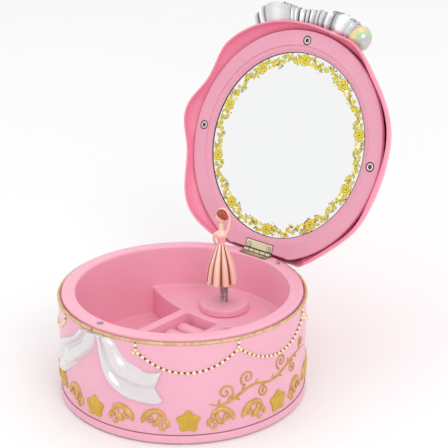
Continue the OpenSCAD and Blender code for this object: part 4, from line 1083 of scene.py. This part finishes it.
def build_dancer():
    HZc = 86.5
    cx, cy = DX, SPY + DY
    g = Geo()
    # neck, chest and shoulders
    lathe(g, [(0.4, 70.6), (1.6, 71.0), (1.75, 72.2), (2.3, 74.2), (2.9, 75.9), (3.05, 76.8), (2.7, 77.7), (1.9, 78.4), (1.3, 79.2), (1.1, 80.3), (1.15, 82.2), (0.5, 83.2)], cx=cx, cy=cy, n=36)
    # shoulder blades and the groove between them
    for s in (1, -1):
        ball(g, face_pt(s * 1.25, -1.7, 76.2, BODY), 1.15, 8, 12, (1, 1, 1.25))
    # head: egg shape with a fuller brow, a small chin and a small nose
    rows = []
    nu, nv = 30, 40
    for i in range(nu + 1):
        b = pi * i / nu
        zz = cos(b)
        row = []
        for j in range(nv):
            a = 2 * pi * j / nv
            rr = sin(b)
            x, y = rr * sin(a), rr * cos(a)          # y forward
            wx = 2.4 * (1.0 - 0.24 * max(0, -zz) ** 1.4)
            wy = 2.7 * (1.0 - 0.12 * max(0, -zz) ** 1.5)
            u, v, w = x * wx, y * wy + 0.1, HZc + zz * 3.55
            d = math.hypot(u / 0.45, (w - (HZc - 0.6)) / 0.7)
            if v > 1.2 and d < 1.7:
                v += 0.5 * max(0, 1 - d / 1.7) ** 1.3
            d = math.hypot(u / 0.9, (w - (HZc - 2.75)) / 0.7)
            if v > 0.6 and d < 1.5:
                v += 0.22 * max(0, 1 - d / 1.5)
            row.append(face_pt(u, v, w))
        rows.append(row)
    g.grid(rows, closed_v=True)
    for s in (1, -1):
        ball(g, face_pt(s * 2.28, -0.1, HZc - 0.4), 0.5, 6, 8, (0.7, 0.7, 1.1))

    def arm(pts, r, taper=0.36):
        P = catmull(pts, 8)
        n = len(P)
        tube(g, P, [r * (1.0 - taper * i / n) for i in range(n)], sides=12)
        # hand: a palm and soft fingers following the arm
        d = (Vector(P[-1]) - Vector(P[-4])).normalized()
        ball(g, P[-1], r * 0.74, 6, 10, (1.0, 1.0, 1.0))
        side = d.cross(Vector((0, 0, 1))).normalized()
        for q in (-0.5, -0.17, 0.17, 0.5):
            p0 = Vector(P[-1]) + side * q * r * 0.9
            tube(g, [tuple(p0), tuple(p0 + d * r * 0.9), tuple(p0 + d * r * 1.5 - Vector((0, 0, 0.12)))], [r * 0.24, r * 0.21, r * 0.13], sides=6)
    # the image-right arm is arched over the head, the other hangs at her side and curves to the waist
    arm([doll(2.3, 0.1, 77.2), doll(3.5, 0.1, 78.6), doll(4.1, 0.1, 82.0), doll(4.2, 0.3, 85.6), doll(3.3, 0.6, 88.9), doll(1.5, 0.9, 90.5), doll(-0.1, 1.1, 90.6)], 0.92)
    arm([doll(-2.2, 0.1, 77.2), doll(-3.5, 0.3, 76.2), doll(-3.95, 0.9, 74.3), doll(-3.8, 1.6, 72.4), doll(-3.3, 2.6, 70.4)], 0.92)
    # legs under the skirt, feet together on the spring cup
    for s in (1, -1):
        P = catmull([face_pt(s * 0.9, 0, 64.0, BODY), face_pt(s * 0.8, 0.1, 57.0, BODY), face_pt(s * 0.7, -0.1, 52.0, BODY), (0.55 * s * 0.4 - 0.5, SPY - 0.5 - 0.9 * 0.5 * s, 48.9)], 6)
        tube(g, P, [1.2 - 0.6 * i / (len(P) - 1) for i in range(len(P))], sides=12)
    ob = make("dancer_figure", g.v, g.f, M["skin"], "dancer")
    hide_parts("ballerina")
    # spring cup under the feet
    g = Geo()
    lathe(g, [(0.5, 48.02), (2.3, 48.05), (2.45, 48.4), (2.3, 48.9), (1.5, 49.3), (0.3, 49.5)], n=32)
    make("dancer_spring_cup", g.v, g.f, M["steel"], "dancer")
    # bodice with a low back and straps
    g = Geo()
    lathe(g, [(1.9, 70.9), (1.98, 71.4), (1.95, 72.2), (2.3, 73.4), (2.75, 74.8), (3.1, 75.8), (3.08, 76.2), (2.8, 76.4)], cx=cx, cy=cy, n=64,
          mod=lambda a, z: 1.0 + 0.012 * cos(16 * a))
    for s in (1, -1):
        P = catmull([face_pt(s * 1.6, 2.1, 76.0, BODY), face_pt(s * 1.85, 1.2, 77.6, BODY), face_pt(s * 1.85, -0.9, 77.8, BODY), face_pt(s * 1.3, -2.35, 75.9, BODY)], 6)
        tube(g, P, 0.27, sides=8)
    tube(g, [(cx + 2.05 * sin(2 * pi * i / 40), cy - 2.05 * cos(2 * pi * i / 40), 71.3) for i in range(40)], 0.42, sides=8, closed=True)
    make("dancer_bodice", g.v, g.f, M["bodice"], "dancer")
    # face
    g = Geo()
    for s in (1, -1):
        ball(g, face_pt(s * 0.9, 2.42, HZc + 0.1), 0.27, 6, 10, (1.0, 0.7, 1.0))
        P = [face_pt(s * (0.5 + 0.2 * i), 2.52 - 0.05 * i, HZc + 0.72 + 0.13 * sin(pi * i / 4)) for i in range(5)]
        tube(g, P, 0.08, sides=6)
    make("dancer_eyes", g.v, g.f, M["eyes"], "dancer")
    g = Geo()
    P = [face_pt(-0.42 + 0.17 * i, 2.5 + 0.06 * sin(pi * i / 5), HZc - 1.62 - 0.1 * sin(pi * i / 5)) for i in range(6)]
    tube(g, P, [0.07, 0.14, 0.17, 0.17, 0.14, 0.07], sides=6)
    make("dancer_mouth", g.v, g.f, M["lips"], "dancer")
    # hair: cap with combed strands down to the nape, and a small low bun
    g = Geo()
    nu, nv = 24, 90

    def cap(thick0, strands, x0, y0, z0, flip=False):
        out = []
        for i in (range(nu, -1, -1) if flip else range(nu + 1)):
            row = []
            for j in range(nv):
                a = 2 * pi * j / nv
                lim = 0.95 + 1.05 * (0.5 - 0.5 * cos(a)) ** 0.8
                b = lim * i / nu
                st = 1 + strands * cos(26 * a + 3 * b)
                k = (thick0 - 0.035 * (i / nu) ** 4) * st
                row.append(face_pt(sin(b) * sin(a) * x0 * k, sin(b) * cos(a) * y0 * k + 0.02, HZc + cos(b) * z0 * k))
            out.append(row)
        return out
    g.grid(cap(1.10, 0.02, 2.45, 2.75, 3.62) + cap(1.0, 0.0, 2.3, 2.6, 3.45, flip=True), closed_v=True)
    c = Vector(face_pt(0.0, -2.75, HZc + 0.2))
    fwd = (Vector(face_pt(0, -1, 0.15)) - Vector(face_pt(0, 0, 0))).normalized()
    e1 = fwd.orthogonal().normalized()
    e2 = fwd.cross(e1)
    P = []
    for i in range(90):
        t = i / 89
        ph = 2 * pi * 3.2 * t
        rr = 1.25 * (1 - t) ** 0.8
        P.append(tuple(c + e1 * rr * cos(ph) + e2 * rr * sin(ph) + fwd * (0.85 * t)))
    tube(g, P, [0.5 - 0.14 * (i / 89) for i in range(90)], sides=10)
    ball(g, tuple(c), 1.2, 8, 14)
    make("dancer_hair", g.v, g.f, M["hair"], "dancer")


build_dancer()


def build_skirt():
    """pleated satin skirt, gathered at the waist; two layers"""
    pleats = 9
    nu, nv = 46, 270
    prof = pchip([49.0, 55.0, 60.5, 65.3, 69.2, 71.5], [8.7, 7.75, 6.45, 4.65, 3.15, 2.15])
    X0, Y0 = DX, SPY + DY

    def rad_at(t):
        # waist to hem
        return prof(71.5 - 22.5 * t)
    verts_o, painted_light = [], []
    rows, frow = [], []
    rr = random.Random(3)
    ph_j = [rr.uniform(-0.35, 0.35) for _ in range(pleats)]
    dep = [rr.uniform(0.8, 1.2) for _ in range(pleats)]
    for i in range(nu + 1):
        t = i / nu
        z = 71.5 - 22.2 * t
        row, fr = [], []
        for j in range(nv):
            a = 2 * pi * j / nv
            q = a / (2 * pi) * pleats
            k = int(q) % pleats
            x = q - int(q)
            x = x + ph_j[k] * 0.25 * sin(pi * x) ** 2
            # a broad rounded pleat with a narrow valley
            w = abs(sin(pi * x)) ** 0.55
            amp = (0.2 + 1.75 * t ** 0.8) * dep[k]
            r = rad_at(t) - amp * (1 - w) * 1.15 + 0.25 * t * cos(2 * pi * x * 1.0 + 1.5)
            zz = z - 0.35 * t * w
            row.append((X0 + r * sin(a), Y0 - r * cos(a), zz))
            # painted shade in the pleat valleys and painted highlight on the crests, with a slow three-lobed swing
            # round the skirt
            fr.append(max(0.0, min(1.0, w * 0.85 + 0.15 * (0.5 + 0.5 * sin(3 * a + 1)))))
        rows.append(row)
        frow.append(fr)
    th = 0.22
    inner = []
    for i in range(nu, -1, -1):
        row = []
        for j in range(nv):
            p = rows[i][j]
            dx, dy = p[0] - X0, p[1] - Y0
            L = math.hypot(dx, dy)
            k = (L - th) / L
            row.append((X0 + dx * k, Y0 + dy * k, p[2]))
        inner.append(row)
        frow.append(frow[i])
    allrows = rows + inner
    g = Geo()
    g.grid(allrows, closed_u=True, closed_v=True)
    me = bpy.data.meshes.new("pleated_skirt")
    me.from_pydata([(v[0] * MM, v[1] * MM, v[2] * MM) for v in g.v], [], g.f)
    me.update()
    at = me.attributes.new("painted_light", "FLOAT", "POINT")
    vals = [f for fr in frow for f in fr]
    at.data.foreach_set("value", vals)
    bm = bmesh.new()
    bm.from_mesh(me)
    bmesh.ops.recalc_face_normals(bm, faces=bm.faces)
    bm.to_mesh(me)
    bm.free()
    me.materials.append(M["satin"])
    me.shade_smooth()
    ob = bpy.data.objects.new("pleated_skirt", me)
    bpy.context.scene.collection.objects.link(ob)
    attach(ob, "dancer")
    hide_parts("doll_skirt")
    return ob


skirt = build_skirt()


def build_spring():
    g = Geo()
    P = []
    n = 260
    turns = 8.0
    for i in range(n + 1):
        t = i / n
        a = 2 * pi * turns * t
        P.append((1.9 * cos(a), SPY + 1.9 * sin(a), 37.42 + (47.58 - 37.42) * t))
    tube(g, P, 0.4, sides=10)
    me = bpy.data.meshes.new("dancer_spring")
    me.from_pydata([(v[0] * MM, v[1] * MM, v[2] * MM) for v in g.v], [], g.f)
    bm = bmesh.new()
    bm.from_mesh(me)
    bmesh.ops.recalc_face_normals(bm, faces=bm.faces)
    bm.to_mesh(me)
    bm.free()
    me.materials.append(M["steel"])
    me.shade_smooth()
    ob = bpy.data.objects.new("dancer_spring", me)
    bpy.context.scene.collection.objects.link(ob)
    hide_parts("doll_spring")
    return ob


spring = build_spring()


def build_pin_spring():
    g = Geo()
    P = []
    for i in range(161):
        t = i / 160
        a = 2 * pi * 5 * t
        P.append((18.3 + 1.3 * cos(a), 57.2 + 1.3 * sin(a), 37.55 + (43.75 - 37.55) * t))
    tube(g, P, 0.2, sides=8)
    me = bpy.data.meshes.new("stop_pin_coil")
    me.from_pydata([(v[0] * MM, v[1] * MM, v[2] * MM) for v in g.v], [], g.f)
    bm = bmesh.new()
    bm.from_mesh(me)
    bmesh.ops.recalc_face_normals(bm, faces=bm.faces)
    bm.to_mesh(me)
    bm.free()
    me.materials.append(M["steel"])
    me.shade_smooth()
    ob = bpy.data.objects.new("stop_pin_coil", me)
    bpy.context.scene.collection.objects.link(ob)
    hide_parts("stop_pin_spring")
    return ob


pin_spring = build_pin_spring()

# ------------------------------------------------------------------ stage, light, camera
def build_stage():
    me = bpy.data.meshes.new("floor")
    s = 3.0
    # floor that curves up far behind the object
    prof = [(-s, 0.0), (1.2, 0.0)] + [(1.2 + 0.8 * sin(rad(a)), 0.8 - 0.8 * cos(rad(a))) for a in range(10, 91, 10)] + [(2.0, 3.0)]
    rot = rad(43)
    vs, fs = [], []
    for (d, z) in prof:
        for w in (-s, s):
            x, y = w, d
            vs.append((x * cos(rot) - y * sin(rot), x * sin(rot) + y * cos(rot), z - 0.00005))
    for i in range(len(prof) - 1):
        fs.append((2 * i, 2 * i + 1, 2 * i + 3, 2 * i + 2))
    me.from_pydata(vs, [], fs)
    me.shade_smooth()
    m = material("floor_white", (0.93, 0.93, 0.93, 1), (0.95, 0.95, 0.95, 1), scale=4, rough=0.7, rough2=0.8)
    me.materials.append(m)
    ob = bpy.data.objects.new("floor", me)
    bpy.context.scene.collection.objects.link(ob)


build_stage()


def area(name, loc, target, size, power, col=(1, 1, 1)):
    l = bpy.data.lights.new(name, "AREA")
    l.shape = "DISK"
    l.size = size
    l.energy = power
    l.color = col
    o = bpy.data.objects.new(name, l)
    o.location = loc
    o.rotation_euler = (Vector(target) - Vector(loc)).to_track_quat("-Z", "Y").to_euler()
    bpy.context.scene.collection.objects.link(o)
    return o


area("key", (0.86, -0.40, 0.80), (0, 0, 0.05), 0.55, 2.5, (1, 0.99, 0.98))
area("fill", (-0.55, -0.85, 0.55), (0, 0, 0.05), 0.8, 0.45)
area("top", (0.0, 0.1, 1.3), (0, 0, 0.05), 0.9, 0.55)

w = bpy.data.worlds.new("w")
bpy.context.scene.world = w
w.use_nodes = True
bg = w.node_tree.nodes["Background"]
bg.inputs[0].default_value = (1, 1, 1, 1)
bg.inputs[1].default_value = 0.98

cam = bpy.data.cameras.new("cam")
cam.lens = 105.6
cam.sensor_width = 36
cam.clip_start, cam.clip_end = 0.01, 20
co = bpy.data.objects.new("cam", cam)
co.location = (0.43260, -0.46065, 0.33526)
co.rotation_euler = (Vector((-0.00070, 0.03378, 0.08196)) - Vector(co.location)).to_track_quat("-Z", "Y").to_euler()
bpy.context.scene.collection.objects.link(co)
bpy.context.scene.camera = co
bpy.context.scene.view_settings.view_transform = "Standard"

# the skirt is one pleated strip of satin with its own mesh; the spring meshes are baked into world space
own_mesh(skirt)
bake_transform(spring)

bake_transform(pin_spring)

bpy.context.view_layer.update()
